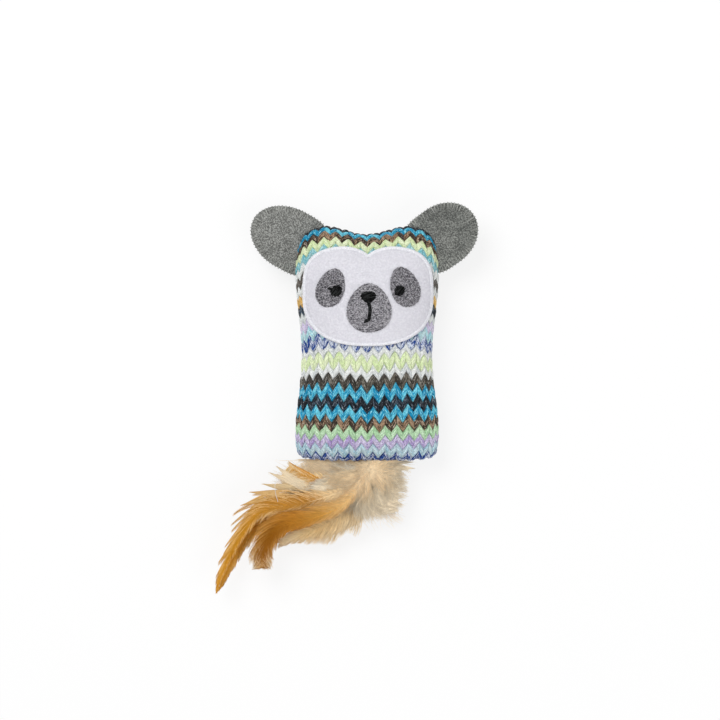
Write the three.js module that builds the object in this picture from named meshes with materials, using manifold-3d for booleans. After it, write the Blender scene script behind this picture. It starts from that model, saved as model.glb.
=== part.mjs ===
// A stuffed cat toy: a woven raffia pillow body with an embroidered plush face,
// two felt ears and a tail of loose feathers. It lies on its back.
// X runs to the viewer's right, Y towards the ears and Z up out of the face.
// The origin is the centre of the flat patch that the back rests on. Sizes are in millimetres.

import * as THREE from 'three';
import { mergeVertices } from 'three/addons/utils/BufferGeometryUtils.js';
import Module from 'manifold-3d';

const wasm = await Module();
wasm.setup();

// Stuffed body
const bodyLength = 127;
const headWidth = 78;
const waistWidth = 70;
const hipWidth = 79.5;
const headLineHeight = 41;
const waistDrop = 7;
const hipLineDrop = 49;
const frontCrown = 18.5;
const backCrown = 18;
const restDepth = 0.5;
const crownNotchDepth = 6;
const crownNotchWidth = 48;
const panelWall = 2.2;
const pillowPower = 2.6;
const hipCornerLossShare = 0.035;
const headCornerLossShare = 0.12;

// Clearances
const layerGap = 0.3;
const cutOverrun = 4;
const weldTolerance = 0.0001;

// Seam and filling
const seamThreadRadius = 0.5;
const seamAllowance = 2;
const pouchLength = 34;
const pouchWidth = 42;
const pouchThickness = 12;
const pouchDrop = 8;
const pouchChannelWidth = 10;
const pouchChannelHeight = 3;

// Plush face
const faceWidth = 69.6;
const faceHeight = 55;
const faceCentreX = 0.8;
const faceCentreY = 25.4;
const faceTopPower = 3.6;
const faceChinPower = 2.4;
const faceNotchShare = 0.17;
const faceNotchHalfAngle = 0.4;
const faceNotchPower = 1.6;
const faceThickness = 1.2;
const faceBorderWidth = 2;
const faceBorderThickness = 1.7;

// Embroidery on the face
const embroideryThickness = 0.7;
const eyePatchLength = 22.6;
const eyePatchWidth = 14.4;
const eyePatchInset = 14.5;
const eyePatchRise = 4.4;
const eyePatchTilt = 0.33;
const pupilWidth = 6.2;
const pupilHeight = 5.6;
const pupilOffset = 3.5;
const pupilRise = 2.9;
const lashLength = 5;
const lashWidth = 1.2;
const lashRise = 1.8;
const muzzleWidth = 23.8;
const muzzleHeight = 26.8;
const muzzleDrop = 7.2;
const noseWidth = 8.4;
const noseHeight = 5.8;
const noseDrop = 0.1;
const mouthLength = 10;
const mouthWidth = 1.9;
const eyeTaperShare = 0.14;
const muzzleTaperShare = 0.1;
const noseTaperShare = -0.42;

// Felt ears
const leftEarHeight = 34.2;
const rightEarHeight = 32;
const earWidth = 33;
const earBaseX = 30.8;
const earBaseY = 50;
const earAngle = 0.56;
const earShoulder = 12;
const earTuck = 5;
const earRootPower = 4;
const feltThickness = 1.5;
const feltBaseThickness = 0.45;
const feltThickening = 8;
const earClearance = 0.8;
const earThreadWidth = 1.2;
const earThreadHeight = 1.8;
const leftEarBowl = 1;
const leftEarRim = -2.5;
const rightEarBowl = 3;
const rightEarRim = 3;

// Feather tail
const bindingRadius = 3.2;
const bindingX = 2;
const bindingReach = 4.5;
const loopWidth = 3;
const loopThickness = 1;
const loopDepth = 6;
const featherSpacing = 1.15;
const quillSpacing = 0.72;
const quillThickness = 0.4;
const quillHalfWidth = 0.5;
const shaftThickness = 0.8;
const vaneEdgeThickness = 0.3;
const layersPartBy = 12;
const droopStart = 45;
const droopLength = 105;
const droopDepth = 9;
const droopPower = 1.5;
const brownReach = 80;
const brownVane = 8;
const outerHackleReach = 107;
const outerHackleVane = 12;
const middleReach = 47;
const middleVane = 8;
const upperReach = 53;
const upperVane = 7;
const edgeReach = 42;
const edgeVane = 5;
const rightReach = 28.5;
const rightVane = 18;
const innerHackleReach = 106;
const innerHackleVane = 4;
const lowerReach = 64;
const lowerVane = 12;

// Mesh counts
const bodySpokes = 56;
const bodyRings = 12;
const liningRings = 8;
const fillSpokes = 36;
const outlinePoints = 40;
const smallOutlinePoints = 20;
const earSpokes = 30;
const earRings = 7;
const pouchRings = 4;
const featherSteps = 16;

// Colours of the materials
const colours = {
  raffia: 0x4fb4d0,
  white: 0xe2e1e6,
  border: 0xf0f0f4,
  grey: 0x8c8a8e,
  black: 0x161618,
  felt: 0x7d7f7a,
  feltThread: 0x6a6b68,
  fibre: 0xf4f2ec,
  cotton: 0xd9cfb4,
  thread: 0xd8d8dc,
  cream: 0xd8c6a6,
  tan: 0xc9a46c,
  golden: 0xc88f2c,
  brown: 0x96611f,
};

const seamHeight = backCrown - restDepth;
const eyePatchSpread = faceWidth / 2 - eyePatchInset;
const bodyFootY = -bodyLength / 2;
const bindingY = bodyFootY - bindingReach;
const model = new THREE.Group();

function addPart(name, geometry, colour, roughness = 0.9) {
  geometry.computeVertexNormals();
  const material = new THREE.MeshStandardMaterial({ color: colour, roughness, metalness: 0 });
  const mesh = new THREE.Mesh(geometry, material);
  mesh.name = name;
  model.add(mesh);
}

// Joins shared vertices and drops the triangles that this closes up
function weld(positions, triangles) {
  const loose = new THREE.BufferGeometry();
  loose.setAttribute('position', new THREE.Float32BufferAttribute(positions, 3));
  loose.setIndex(triangles);
  const welded = mergeVertices(loose, weldTolerance);
  const kept = [];
  const corners = welded.index.array;
  for (let i = 0; i < corners.length; i += 3) {
    const [a, b, c] = [corners[i], corners[i + 1], corners[i + 2]];
    if (a !== b && b !== c && c !== a) kept.push(a, b, c);
  }
  welded.setIndex(kept);
  return welded;
}

function toSolid(geometry) {
  const bare = geometry.clone();
  bare.deleteAttribute('normal');
  bare.deleteAttribute('uv');
  const merged = mergeVertices(bare, weldTolerance);
  return new wasm.Manifold(new wasm.Mesh({
    numProp: 3,
    vertProperties: new Float32Array(merged.attributes.position.array),
    triVerts: new Uint32Array(merged.index.array),
  }));
}

function toGeometry(solid) {
  const mesh = solid.getMesh();
  return weld(Array.from(mesh.vertProperties), Array.from(mesh.triVerts));
}

function boxSolid(width, length, height, x, y, z) {
  return toSolid(new THREE.BoxGeometry(width, length, height)).translate([x, y, z]);
}

// A solid between two height fields inside an outline that is given as a radius for each angle
function blanket({ x = 0, y = 0, radiusAt, topAt, bottomAt, spokes, rings }) {
  const positions = [];
  const triangles = [];
  for (const heightAt of [topAt, bottomAt]) {
    positions.push(x, y, heightAt(x, y, 0));
    for (let ring = 1; ring <= rings; ring += 1) {
      const share = Math.sin((ring / rings) * (Math.PI / 2));
      for (let spoke = 0; spoke < spokes; spoke += 1) {
        const angle = (spoke / spokes) * 2 * Math.PI;
        const reach = share * radiusAt(angle);
        const px = x + reach * Math.cos(angle);
        const py = y + reach * Math.sin(angle);
        positions.push(px, py, heightAt(px, py, share));
      }
    }
  }
  const sheetSize = 1 + rings * spokes;
  const at = (sheet, ring, spoke) => {
    if (ring === 0) return sheet * sheetSize;
    return sheet * sheetSize + 1 + (ring - 1) * spokes + (spoke % spokes);
  };
  for (let spoke = 0; spoke < spokes; spoke += 1) {
    triangles.push(at(0, 0, 0), at(0, 1, spoke), at(0, 1, spoke + 1));
    triangles.push(at(1, 0, 0), at(1, 1, spoke + 1), at(1, 1, spoke));
    for (let ring = 1; ring < rings; ring += 1) {
      const next = ring + 1;
      triangles.push(at(0, ring, spoke), at(0, next, spoke), at(0, next, spoke + 1));
      triangles.push(at(0, ring, spoke), at(0, next, spoke + 1), at(0, ring, spoke + 1));
      triangles.push(at(1, ring, spoke), at(1, next, spoke + 1), at(1, next, spoke));
      triangles.push(at(1, ring, spoke), at(1, ring, spoke + 1), at(1, next, spoke + 1));
    }
    triangles.push(at(0, rings, spoke), at(1, rings, spoke), at(1, rings, spoke + 1));
    triangles.push(at(0, rings, spoke), at(1, rings, spoke + 1), at(0, rings, spoke + 1));
  }
  return weld(positions, triangles);
}

// Straight wall of an outline, tall enough to reach past the whole toy
function prismSolid(outline) {
  const height = frontCrown + backCrown + 2 * cutOverrun;
  const settings = { depth: height, bevelEnabled: false };
  const geometry = new THREE.ExtrudeGeometry(new THREE.Shape(outline), settings);
  return toSolid(geometry).translate([0, 0, -cutOverrun]);
}

// Pillow shape of the body, as a share of its crown height at each point
function smoothStep(value) {
  return 0.5 - 0.5 * Math.cos(Math.PI * THREE.MathUtils.clamp(value, 0, 1));
}

function bodyHalfWidthAt(y) {
  const above = y > -waistDrop;
  const span = above ? headLineHeight + waistDrop : hipLineDrop - waistDrop;
  const endWidth = above ? headWidth : hipWidth;
  return THREE.MathUtils.lerp(waistWidth, endWidth, smoothStep(Math.abs(y + waistDrop) / span)) / 2;
}

function bodyHalfLengthAt(x, y) {
  if (y < 0) return bodyLength / 2;
  const fromNotch = THREE.MathUtils.clamp((2 * Math.abs(x)) / crownNotchWidth, 0, 1);
  return bodyLength / 2 - crownNotchDepth * Math.cos((fromNotch * Math.PI) / 2) ** 2;
}

function pillowField(x, y) {
  const towardsHead = THREE.MathUtils.clamp(0.5 + y / bodyLength, 0, 1);
  const loss = THREE.MathUtils.lerp(hipCornerLossShare, headCornerLossShare, towardsHead);
  const fit = (1 - loss) ** (1 / pillowPower);
  const across = (Math.abs(x) * fit) / bodyHalfWidthAt(y);
  const along = (Math.abs(y) * fit) / bodyHalfLengthAt(x, y);
  const fullness = Math.max(0, 1 - across ** pillowPower) * Math.max(0, 1 - along ** pillowPower);
  return (fullness - loss) / (1 - loss);
}

function pillowShareAt(x, y, inset = 0) {
  const shrunkX = x / (1 - inset / (headWidth / 2));
  const shrunkY = y / (1 - inset / (bodyLength / 2));
  return Math.sqrt(Math.max(0, pillowField(shrunkX, shrunkY)));
}

function bodyRadiusAt(angle, inset = 0) {
  let inside = 0;
  let outside = bodyLength;
  const stepX = Math.cos(angle) / (1 - inset / (headWidth / 2));
  const stepY = Math.sin(angle) / (1 - inset / (bodyLength / 2));
  while (outside - inside > weldTolerance) {
    const middle = (inside + outside) / 2;
    if (pillowField(middle * stepX, middle * stepY) > 0) inside = middle;
    else outside = middle;
  }
  return inside;
}

function pillow({ inset = 0, edgeInset = inset, top, bottom, spokes, rings }) {
  const heightAt = (px, py, crown, share) => {
    if (share === 1) return seamHeight;
    return seamHeight + (crown - Math.sign(crown) * inset) * pillowShareAt(px, py, edgeInset);
  };
  return toSolid(blanket({
    radiusAt: (angle) => bodyRadiusAt(angle, edgeInset),
    topAt: (px, py, share) => heightAt(px, py, top, share),
    bottomAt: (px, py, share) => heightAt(px, py, bottom, share),
    spokes,
    rings,
  }));
}

function outlineOf(radiusAt, count, x = 0, y = 0) {
  return Array.from({ length: count }, (_, i) => {
    const angle = (i / count) * 2 * Math.PI;
    const reach = radiusAt(angle);
    return new THREE.Vector2(x + reach * Math.cos(angle), y + reach * Math.sin(angle));
  });
}

// Front and back panels, open shells that meet face to face along the side seam
const outerPillow = pillow({ top: frontCrown, bottom: -backCrown, spokes: bodySpokes, rings: bodyRings });
const innerPillow = pillow({
  inset: panelWall,
  top: frontCrown,
  bottom: -backCrown,
  spokes: bodySpokes,
  rings: liningRings,
});
const slabWidth = headWidth + 2 * cutOverrun;
const slabLength = bodyLength + 2 * cutOverrun;
const slabHeight = frontCrown + backCrown;
const belowRest = boxSolid(slabWidth, slabLength, slabHeight, 0, 0, -slabHeight / 2);
const belowSeam = boxSolid(slabWidth, slabLength, slabHeight, 0, 0, seamHeight - slabHeight / 2);
const aboveSeam = boxSolid(slabWidth, slabLength, slabHeight, 0, 0, seamHeight + slabHeight / 2);
const loopLength = loopDepth + bindingReach - bindingRadius - layerGap;
const loopMiddleY = bodyFootY + loopDepth - loopLength / 2;
const loopOpening = boxSolid(
  loopWidth + 2 * layerGap,
  loopLength + 2 * cutOverrun,
  loopThickness + 2 * layerGap,
  bindingX,
  loopMiddleY,
  seamHeight,
);
const shell = outerPillow.subtract(innerPillow).subtract(loopOpening);
addPart('front_panel', toGeometry(shell.subtract(belowSeam)), colours.raffia, 0.55);
addPart('back_panel', toGeometry(shell.subtract(aboveSeam).subtract(belowRest)), colours.raffia, 0.55);

// Thread that sews the two panels together, inside their edges
function threadRing(threadRadius, sides = 6) {
  const positions = [];
  const triangles = [];
  for (let spoke = 0; spoke < bodySpokes; spoke += 1) {
    const angle = (spoke / bodySpokes) * 2 * Math.PI;
    const reach = bodyRadiusAt(angle, panelWall) - layerGap - threadRadius;
    for (let side = 0; side < sides; side += 1) {
      const turn = (side / sides) * 2 * Math.PI;
      const radius = reach + threadRadius * Math.cos(turn);
      positions.push(radius * Math.cos(angle), radius * Math.sin(angle));
      positions.push(seamHeight + threadRadius * Math.sin(turn));
    }
  }
  const at = (spoke, side) => (spoke % bodySpokes) * sides + (side % sides);
  for (let spoke = 0; spoke < bodySpokes; spoke += 1) {
    for (let side = 0; side < sides; side += 1) {
      triangles.push(at(spoke, side), at(spoke + 1, side), at(spoke + 1, side + 1));
      triangles.push(at(spoke, side), at(spoke + 1, side + 1), at(spoke, side + 1));
    }
  }
  return weld(positions, triangles);
}
const seamRing = toSolid(threadRing(seamThreadRadius)).subtract(loopOpening);
addPart('side_seam_thread', toGeometry(seamRing), colours.thread);

// Catnip pouch, and the fibre filling round it with the channel that it was pushed in through
function pouchSolid(clearance) {
  const halfWidth = pouchWidth / 2 + clearance;
  const halfLength = pouchLength / 2 + clearance;
  const halfThickness = pouchThickness / 2 + clearance;
  const swell = (px, py) => {
    const across = Math.abs(px / halfWidth) ** pillowPower;
    const along = Math.abs((py + pouchDrop) / halfLength) ** pillowPower;
    return Math.sqrt(Math.max(0, 1 - across - along));
  };
  return toSolid(blanket({
    y: -pouchDrop,
    radiusAt: (angle) => {
      const across = Math.abs(Math.cos(angle) / halfWidth) ** pillowPower;
      const along = Math.abs(Math.sin(angle) / halfLength) ** pillowPower;
      return (across + along) ** (-1 / pillowPower);
    },
    topAt: (px, py, share) => seamHeight + (share === 1 ? 0 : halfThickness * swell(px, py)),
    bottomAt: (px, py, share) => seamHeight - (share === 1 ? 0 : halfThickness * swell(px, py)),
    spokes: smallOutlinePoints,
    rings: pouchRings,
  }));
}
addPart('catnip_pouch', toGeometry(pouchSolid(0)), colours.cotton);

const channelLength = bodyLength / 2 - pouchDrop + cutOverrun;
const channel = boxSolid(
  pouchChannelWidth,
  channelLength,
  pouchChannelHeight,
  bindingX,
  -pouchDrop - channelLength / 2,
  seamHeight,
);
const filling = pillow({
  inset: panelWall + layerGap,
  edgeInset: panelWall + seamAllowance,
  top: frontCrown,
  bottom: -backCrown,
  spokes: fillSpokes,
  rings: liningRings,
});
const stuffing = filling.subtract(pouchSolid(layerGap)).subtract(channel);
addPart('fibre_stuffing', toGeometry(stuffing), colours.fibre);

// Plush face and its embroidery, layers that follow the pillow and lie a clearance apart
function appliedLayer(outlineSolid, lift, thickness) {
  const upper = outerPillow.translate([0, 0, lift + thickness]);
  const lower = outerPillow.translate([0, 0, lift]);
  return outlineSolid.intersect(upper).subtract(lower).subtract(belowSeam);
}

function faceRadiusAt(angle, inset = 0) {
  const power = Math.sin(angle) > 0 ? faceTopPower : faceChinPower;
  const across = Math.abs((2 * Math.cos(angle)) / faceWidth) ** power;
  const along = Math.abs((2 * Math.sin(angle)) / faceHeight) ** power;
  const fromNotch = Math.abs(angle - Math.PI / 2) / faceNotchHalfAngle;
  const notch = faceNotchShare * Math.max(0, 1 - fromNotch) ** faceNotchPower;
  return (across + along) ** (-1 / power) * (1 - notch) - inset;
}

function facePrism(inset) {
  const radiusAt = (angle) => faceRadiusAt(angle, inset);
  return prismSolid(outlineOf(radiusAt, outlinePoints, faceCentreX, faceCentreY));
}

// An egg outline, narrower at the top by its taper, leaning by its tilt
function eggPrism(x, y, width, height, taper = 0, tilt = 0) {
  const middle = new THREE.Vector2(x, y);
  const outline = Array.from({ length: smallOutlinePoints }, (_, i) => {
    const angle = (i / smallOutlinePoints) * 2 * Math.PI;
    const across = (width / 2) * Math.cos(angle) * (1 - taper * Math.sin(angle));
    const along = (height / 2) * Math.sin(angle);
    return new THREE.Vector2(x + across, y + along).rotateAround(middle, tilt);
  });
  return prismSolid(outline);
}

// A band of even width along a few points
function bandPrism(points, width) {
  const curve = new THREE.CatmullRomCurve3(points.map(([px, py]) => new THREE.Vector3(px, py, 0)));
  const left = [];
  const right = [];
  const steps = 6;
  for (let step = 0; step <= steps; step += 1) {
    const point = curve.getPoint(step / steps);
    const heading = curve.getTangent(step / steps);
    const side = new THREE.Vector2(-heading.y, heading.x).multiplyScalar(width / 2);
    left.push(new THREE.Vector2(point.x, point.y).add(side));
    right.unshift(new THREE.Vector2(point.x, point.y).sub(side));
  }
  return prismSolid([...right.reverse(), ...left.reverse()]);
}

const borderRing = facePrism(0).subtract(facePrism(faceBorderWidth));
const plush = facePrism(faceBorderWidth + layerGap);
const embroideryLift = layerGap + faceThickness + layerGap;
const topStitchLift = embroideryLift + embroideryThickness + layerGap;
const borderLayer = appliedLayer(borderRing, layerGap, faceBorderThickness);
addPart('face_patch_border', toGeometry(borderLayer), colours.border);
addPart('face_patch', toGeometry(appliedLayer(plush, layerGap, faceThickness)), colours.white);

for (const [name, side] of [['left', -1], ['right', 1]]) {
  const patch = eggPrism(
    faceCentreX + side * eyePatchSpread,
    faceCentreY + eyePatchRise,
    eyePatchWidth,
    eyePatchLength,
    eyeTaperShare,
    side * eyePatchTilt,
  );
  const patchLayer = appliedLayer(patch, embroideryLift, embroideryThickness);
  addPart(`${name}_eye_patch`, toGeometry(patchLayer), colours.grey);

  const pupilX = faceCentreX + side * (eyePatchSpread - pupilOffset);
  const pupilY = faceCentreY + pupilRise;
  const pupil = eggPrism(pupilX, pupilY, pupilWidth, pupilHeight);
  const lash = bandPrism([[pupilX, pupilY], [pupilX - lashLength, pupilY + lashRise]], lashWidth);
  const stitched = side < 0 ? pupil.add(lash) : pupil;
  const pupilLayer = appliedLayer(stitched, topStitchLift, embroideryThickness);
  addPart(`${name}_pupil`, toGeometry(pupilLayer), colours.black);
}

const muzzle = eggPrism(faceCentreX, faceCentreY - muzzleDrop, muzzleWidth, muzzleHeight, muzzleTaperShare);
addPart('muzzle_patch', toGeometry(appliedLayer(muzzle, embroideryLift, embroideryThickness)), colours.grey);
const noseY = faceCentreY - noseDrop;
const nose = eggPrism(faceCentreX, noseY, noseWidth, noseHeight, noseTaperShare);
addPart('nose', toGeometry(appliedLayer(nose, topStitchLift, embroideryThickness)), colours.black);
const mouthTopY = noseY - noseHeight / 2 - layerGap;
const mouthShares = [[0, 0], [0.08, -0.4], [0.03, -0.85], [-0.28, -1]];
const mouthPoints = mouthShares.map(([sx, sy]) => {
  return [faceCentreX + sx * mouthLength, mouthTopY + sy * mouthLength];
});
const mouth = bandPrism(mouthPoints, mouthWidth);
addPart('mouth_line', toGeometry(appliedLayer(mouth, topStitchLift, embroideryThickness)), colours.black);

// Felt ears: two layers each with an overcast thread round the free edge.
// An ear folds on a line that just clears the bulge of the body's corner.
const earCutOutline = outlineOf((angle) => bodyRadiusAt(angle) + earClearance, 2 * outlinePoints);
const bodyCutter = prismSolid(earCutOutline);
const earOutward = new THREE.Vector2(Math.cos(earAngle), Math.sin(earAngle));
const earBase = new THREE.Vector2(earBaseX, earBaseY);
const earFold = Math.max(...earCutOutline.map((point) => point.clone().sub(earBase).dot(earOutward)));

function ear(name, side, height, bowl, rim) {
  const direction = side > 0 ? earAngle : Math.PI - earAngle;
  const outward = new THREE.Vector2(side * earOutward.x, earOutward.y);
  const base = new THREE.Vector2(side * earBase.x, earBase.y);
  const middle = base.clone().addScaledVector(outward, earShoulder);
  const radiusAt = (angle) => {
    const along = Math.cos(angle - direction);
    const across = Math.sin(angle - direction) / (earWidth / 2);
    if (along > 0) return 1 / Math.hypot(along / (height - earShoulder), across);
    const towardsRoot = Math.abs(along / (earShoulder + earTuck)) ** earRootPower;
    return (towardsRoot + Math.abs(across) ** earRootPower) ** (-1 / earRootPower);
  };
  const fromBaseAt = (px, py) => new THREE.Vector2(px, py).sub(base).dot(outward);
  const middleHeightAt = (px, py, share) => {
    const away = smoothStep((fromBaseAt(px, py) - earFold) / earShoulder);
    return seamHeight + away * (rim * share ** 2 - bowl * (1 - share ** 2));
  };
  const feltAt = (px, py) => {
    const away = smoothStep((fromBaseAt(px, py) - earFold) / feltThickening);
    return layerGap / 2 + THREE.MathUtils.lerp(feltBaseThickness, feltThickness, away);
  };
  const layers = { front: 1, back: -1 };
  for (const [layer, up] of Object.entries(layers)) {
    const nearFace = (px, py, share) => middleHeightAt(px, py, share) + (up * layerGap) / 2;
    const farFace = (px, py, share) => middleHeightAt(px, py, share) + up * feltAt(px, py);
    const felt = toSolid(blanket({
      x: middle.x,
      y: middle.y,
      radiusAt,
      topAt: up > 0 ? farFace : nearFace,
      bottomAt: up > 0 ? nearFace : farFace,
      spokes: earSpokes,
      rings: earRings,
    }));
    addPart(`${name}_ear_${layer}_felt`, toGeometry(felt.subtract(bodyCutter)), colours.felt);
  }
  const threadPart = (extra, growth) => toSolid(blanket({
    x: middle.x,
    y: middle.y,
    radiusAt: (angle) => radiusAt(angle) + extra,
    topAt: (px, py) => middleHeightAt(px, py, 1) + earThreadHeight / 2 + growth,
    bottomAt: (px, py) => middleHeightAt(px, py, 1) - earThreadHeight / 2 - growth,
    spokes: earSpokes,
    rings: 2,
  }));
  const thread = threadPart(layerGap + earThreadWidth, 0).subtract(threadPart(layerGap, cutOverrun));
  addPart(`${name}_ear_edge_stitch`, toGeometry(thread.subtract(bodyCutter)), colours.feltThread);
}
ear('left', -1, leftEarHeight, leftEarBowl, leftEarRim);
ear('right', 1, rightEarHeight, rightEarBowl, rightEarRim);

// Loop sewn into the bottom seam, and the binding of the quills that swings on it
const loopRibbon = new THREE.BoxGeometry(loopWidth, loopLength, loopThickness);
loopRibbon.translate(bindingX, loopMiddleY, seamHeight);
addPart('tail_loop', loopRibbon, colours.thread);
const binding = new THREE.SphereGeometry(bindingRadius, 16, 10);
binding.rotateX(Math.PI / 2);
binding.translate(bindingX, bindingY, seamHeight);
addPart('quill_binding', toGeometry(toSolid(binding)), colours.thread);

// Feathers fan round the binding, each in a layer of its own.
// A shaft's points are shares of its reach, and both vanes' widths are shares of its vane.
const feathers = [
  {
    name: 'brown_feather',
    reach: brownReach,
    vane: brownVane,
    colour: colours.brown,
    shaftShares: [
      [-0.08, -0.11], [-0.2, -0.25], [-0.41, -0.34], [-0.59, -0.39],
      [-0.69, -0.48], [-0.735, -0.575], [-0.75, -0.66],
    ],
    lowerShares: [0.3, 0.5, 0.5, 0.5, 0.7, 0.85, 0.75],
    upperShares: [0.3, 0.7, 1, 1, 1, 0.8, 0.55],
  },
  {
    name: 'outer_hackle',
    reach: outerHackleReach,
    vane: outerHackleVane,
    colour: colours.golden,
    shaftShares: [
      [-0.11, -0.096], [-0.276, -0.156], [-0.393, -0.182], [-0.529, -0.207], [-0.59, -0.25],
      [-0.641, -0.318], [-0.697, -0.412], [-0.742, -0.505], [-0.77, -0.58], [-0.779, -0.627],
    ],
    lowerShares: [0.2, 0.33, 0.33, 0.33, 0.33, 0.33, 0.3, 0.25, 0.15, 0.04],
    upperShares: [0.2, 0.58, 0.75, 1, 0.85, 0.58, 0.4, 0.22, 0.14, 0.04],
  },
  {
    name: 'middle_feather',
    reach: middleReach,
    vane: middleVane,
    colour: colours.cream,
    shaftShares: [[-0.17, -0.04], [-0.38, -0.14], [-0.6, -0.28], [-0.77, -0.43], [-0.85, -0.52]],
    lowerShares: [0.3, 0.8, 1, 0.8, 0.3],
    upperShares: [0.3, 0.8, 1, 0.8, 0.3],
  },
  {
    name: 'upper_feather',
    reach: upperReach,
    vane: upperVane,
    colour: colours.golden,
    shaftShares: [[-0.2, -0.07], [-0.45, -0.1], [-0.7, -0.08], [-0.88, -0.04], [-1, -0.02]],
    lowerShares: [0.4, 0.9, 1, 0.8, 0.3],
    upperShares: [0.3, 0.6, 0.75, 0.6, 0.25],
  },
  {
    name: 'edge_feather',
    reach: edgeReach,
    vane: edgeVane,
    colour: colours.cream,
    shaftShares: [[-0.2, -0.04], [-0.5, -0.05], [-0.78, -0.04], [-1, -0.03]],
    lowerShares: [0.5, 1, 0.9, 0.4],
    upperShares: [0.5, 0.7, 0.7, 0.4],
  },
  {
    name: 'right_feather',
    reach: rightReach,
    vane: rightVane,
    colour: colours.cream,
    shaftShares: [[0.1, -0.2], [0.24, -0.45], [0.35, -0.7], [0.4, -0.92]],
    lowerShares: [1, 0.72, 0.45, 0.12],
    upperShares: [0.2, 0.35, 0.35, 0.15],
  },
  {
    name: 'inner_hackle',
    reach: innerHackleReach,
    vane: innerHackleVane,
    colour: colours.golden,
    shaftShares: [
      [-0.104, -0.094], [-0.264, -0.16], [-0.425, -0.222], [-0.547, -0.278],
      [-0.623, -0.344], [-0.684, -0.434], [-0.734, -0.528], [-0.762, -0.59], [-0.779, -0.626],
    ],
    lowerShares: [0.6, 0.8, 0.9, 1, 1, 0.9, 0.6, 0.4, 0.1],
    upperShares: [0.6, 0.8, 0.9, 1, 1, 0.9, 0.6, 0.4, 0.1],
  },
  {
    name: 'lower_feather',
    reach: lowerReach,
    vane: lowerVane,
    colour: colours.tan,
    shaftShares: [[-0.06, -0.19], [-0.22, -0.375], [-0.44, -0.5], [-0.66, -0.58], [-0.77, -0.635]],
    lowerShares: [0.55, 1, 0.7, 0.25, 0.1],
    upperShares: [0.4, 0.7, 0.7, 0.5, 0.15],
  },
];

function interpolate(shares, position) {
  const whole = Math.min(Math.floor(position), shares.length - 2);
  return THREE.MathUtils.lerp(shares[whole], shares[whole + 1], position - whole);
}

function addFeather(feather, layer) {
  const { name, reach, vane, colour, shaftShares, lowerShares, upperShares } = feather;
  const layersFromMiddle = (feathers.length - 1) / 2 - layer;
  const firstPoint = new THREE.Vector2(...shaftShares[0]).normalize();
  const rootRadius = Math.sqrt((bindingRadius + 2 * layerGap) ** 2 - (layersFromMiddle * quillSpacing) ** 2);
  const points = [firstPoint.multiplyScalar(rootRadius)];
  points.push(...shaftShares.map(([sx, sy]) => new THREE.Vector2(sx * reach, sy * reach)));
  const shaft = new THREE.CatmullRomCurve3(points.map((point) => new THREE.Vector3(point.x, point.y, 0)));
  const partingAt = (fromBinding) => smoothStep((fromBinding - bindingRadius) / layersPartBy);
  const surfaceAt = (px, py) => {
    const fromBinding = Math.hypot(px, py);
    const spacing = THREE.MathUtils.lerp(quillSpacing, featherSpacing, partingAt(fromBinding));
    const droop = Math.max(0, (fromBinding - droopStart) / droopLength) ** droopPower * droopDepth;
    return seamHeight + layersFromMiddle * spacing - droop;
  };
  const lower = [quillHalfWidth / vane, ...lowerShares];
  const upper = [quillHalfWidth / vane, ...upperShares];
  const positions = [];
  const pushPair = (px, py, thickness) => {
    const height = surfaceAt(px, py);
    positions.push(bindingX + px, bindingY + py, height + thickness / 2);
    positions.push(bindingX + px, bindingY + py, height - thickness / 2);
  };
  for (let step = 0; step <= featherSteps; step += 1) {
    const share = step / featherSteps;
    const point = shaft.getPoint(share);
    const heading = shaft.getTangent(share);
    const position = share * (lower.length - 1);
    const lowerWidth = vane * interpolate(lower, position);
    const upperWidth = vane * interpolate(upper, position);
    const middleThickness = THREE.MathUtils.lerp(quillThickness, shaftThickness, partingAt(point.length()));
    pushPair(point.x - heading.y * lowerWidth, point.y + heading.x * lowerWidth, vaneEdgeThickness);
    pushPair(point.x, point.y, middleThickness);
    pushPair(point.x + heading.y * upperWidth, point.y - heading.x * upperWidth, vaneEdgeThickness);
  }
  const section = [0, 1, 3, 5, 4, 2];
  const triangles = [];
  for (let step = 0; step < featherSteps; step += 1) {
    const near = step * section.length;
    const far = near + section.length;
    section.forEach((corner, i) => {
      const next = section[(i + 1) % section.length];
      triangles.push(near + corner, far + corner, far + next, near + corner, far + next, near + next);
    });
  }
  const last = featherSteps * section.length;
  for (let i = 1; i < section.length - 1; i += 1) {
    triangles.push(section[0], section[i], section[i + 1]);
    triangles.push(last + section[0], last + section[i + 1], last + section[i]);
  }
  addPart(name, weld(positions, triangles), colour);
}
feathers.forEach(addFeather);

export default model;
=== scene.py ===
import math

import bpy
import numpy as np
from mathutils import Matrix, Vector
from mathutils.bvhtree import BVHTree


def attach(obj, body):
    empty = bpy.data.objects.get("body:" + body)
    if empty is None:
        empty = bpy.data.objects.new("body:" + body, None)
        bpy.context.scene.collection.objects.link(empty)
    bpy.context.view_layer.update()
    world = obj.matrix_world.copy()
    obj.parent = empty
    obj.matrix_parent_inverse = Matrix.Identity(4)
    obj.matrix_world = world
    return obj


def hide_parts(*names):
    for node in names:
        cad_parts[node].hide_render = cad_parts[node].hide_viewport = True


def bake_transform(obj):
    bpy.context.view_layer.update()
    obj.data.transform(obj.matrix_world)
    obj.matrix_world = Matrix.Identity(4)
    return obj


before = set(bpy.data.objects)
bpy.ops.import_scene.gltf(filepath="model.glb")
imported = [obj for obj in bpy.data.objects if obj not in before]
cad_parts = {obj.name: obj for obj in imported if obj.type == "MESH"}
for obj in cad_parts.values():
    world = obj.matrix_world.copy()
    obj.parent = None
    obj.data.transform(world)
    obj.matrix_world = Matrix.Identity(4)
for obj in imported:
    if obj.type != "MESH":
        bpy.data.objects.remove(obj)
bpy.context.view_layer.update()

# A stuffed cat toy: a knitted raffia pillow with a plush face, felt ears and a feather tail.
# Sizes are in millimetres in the part's frame; make_mesh turns them into metres.
MM = 0.001
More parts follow.
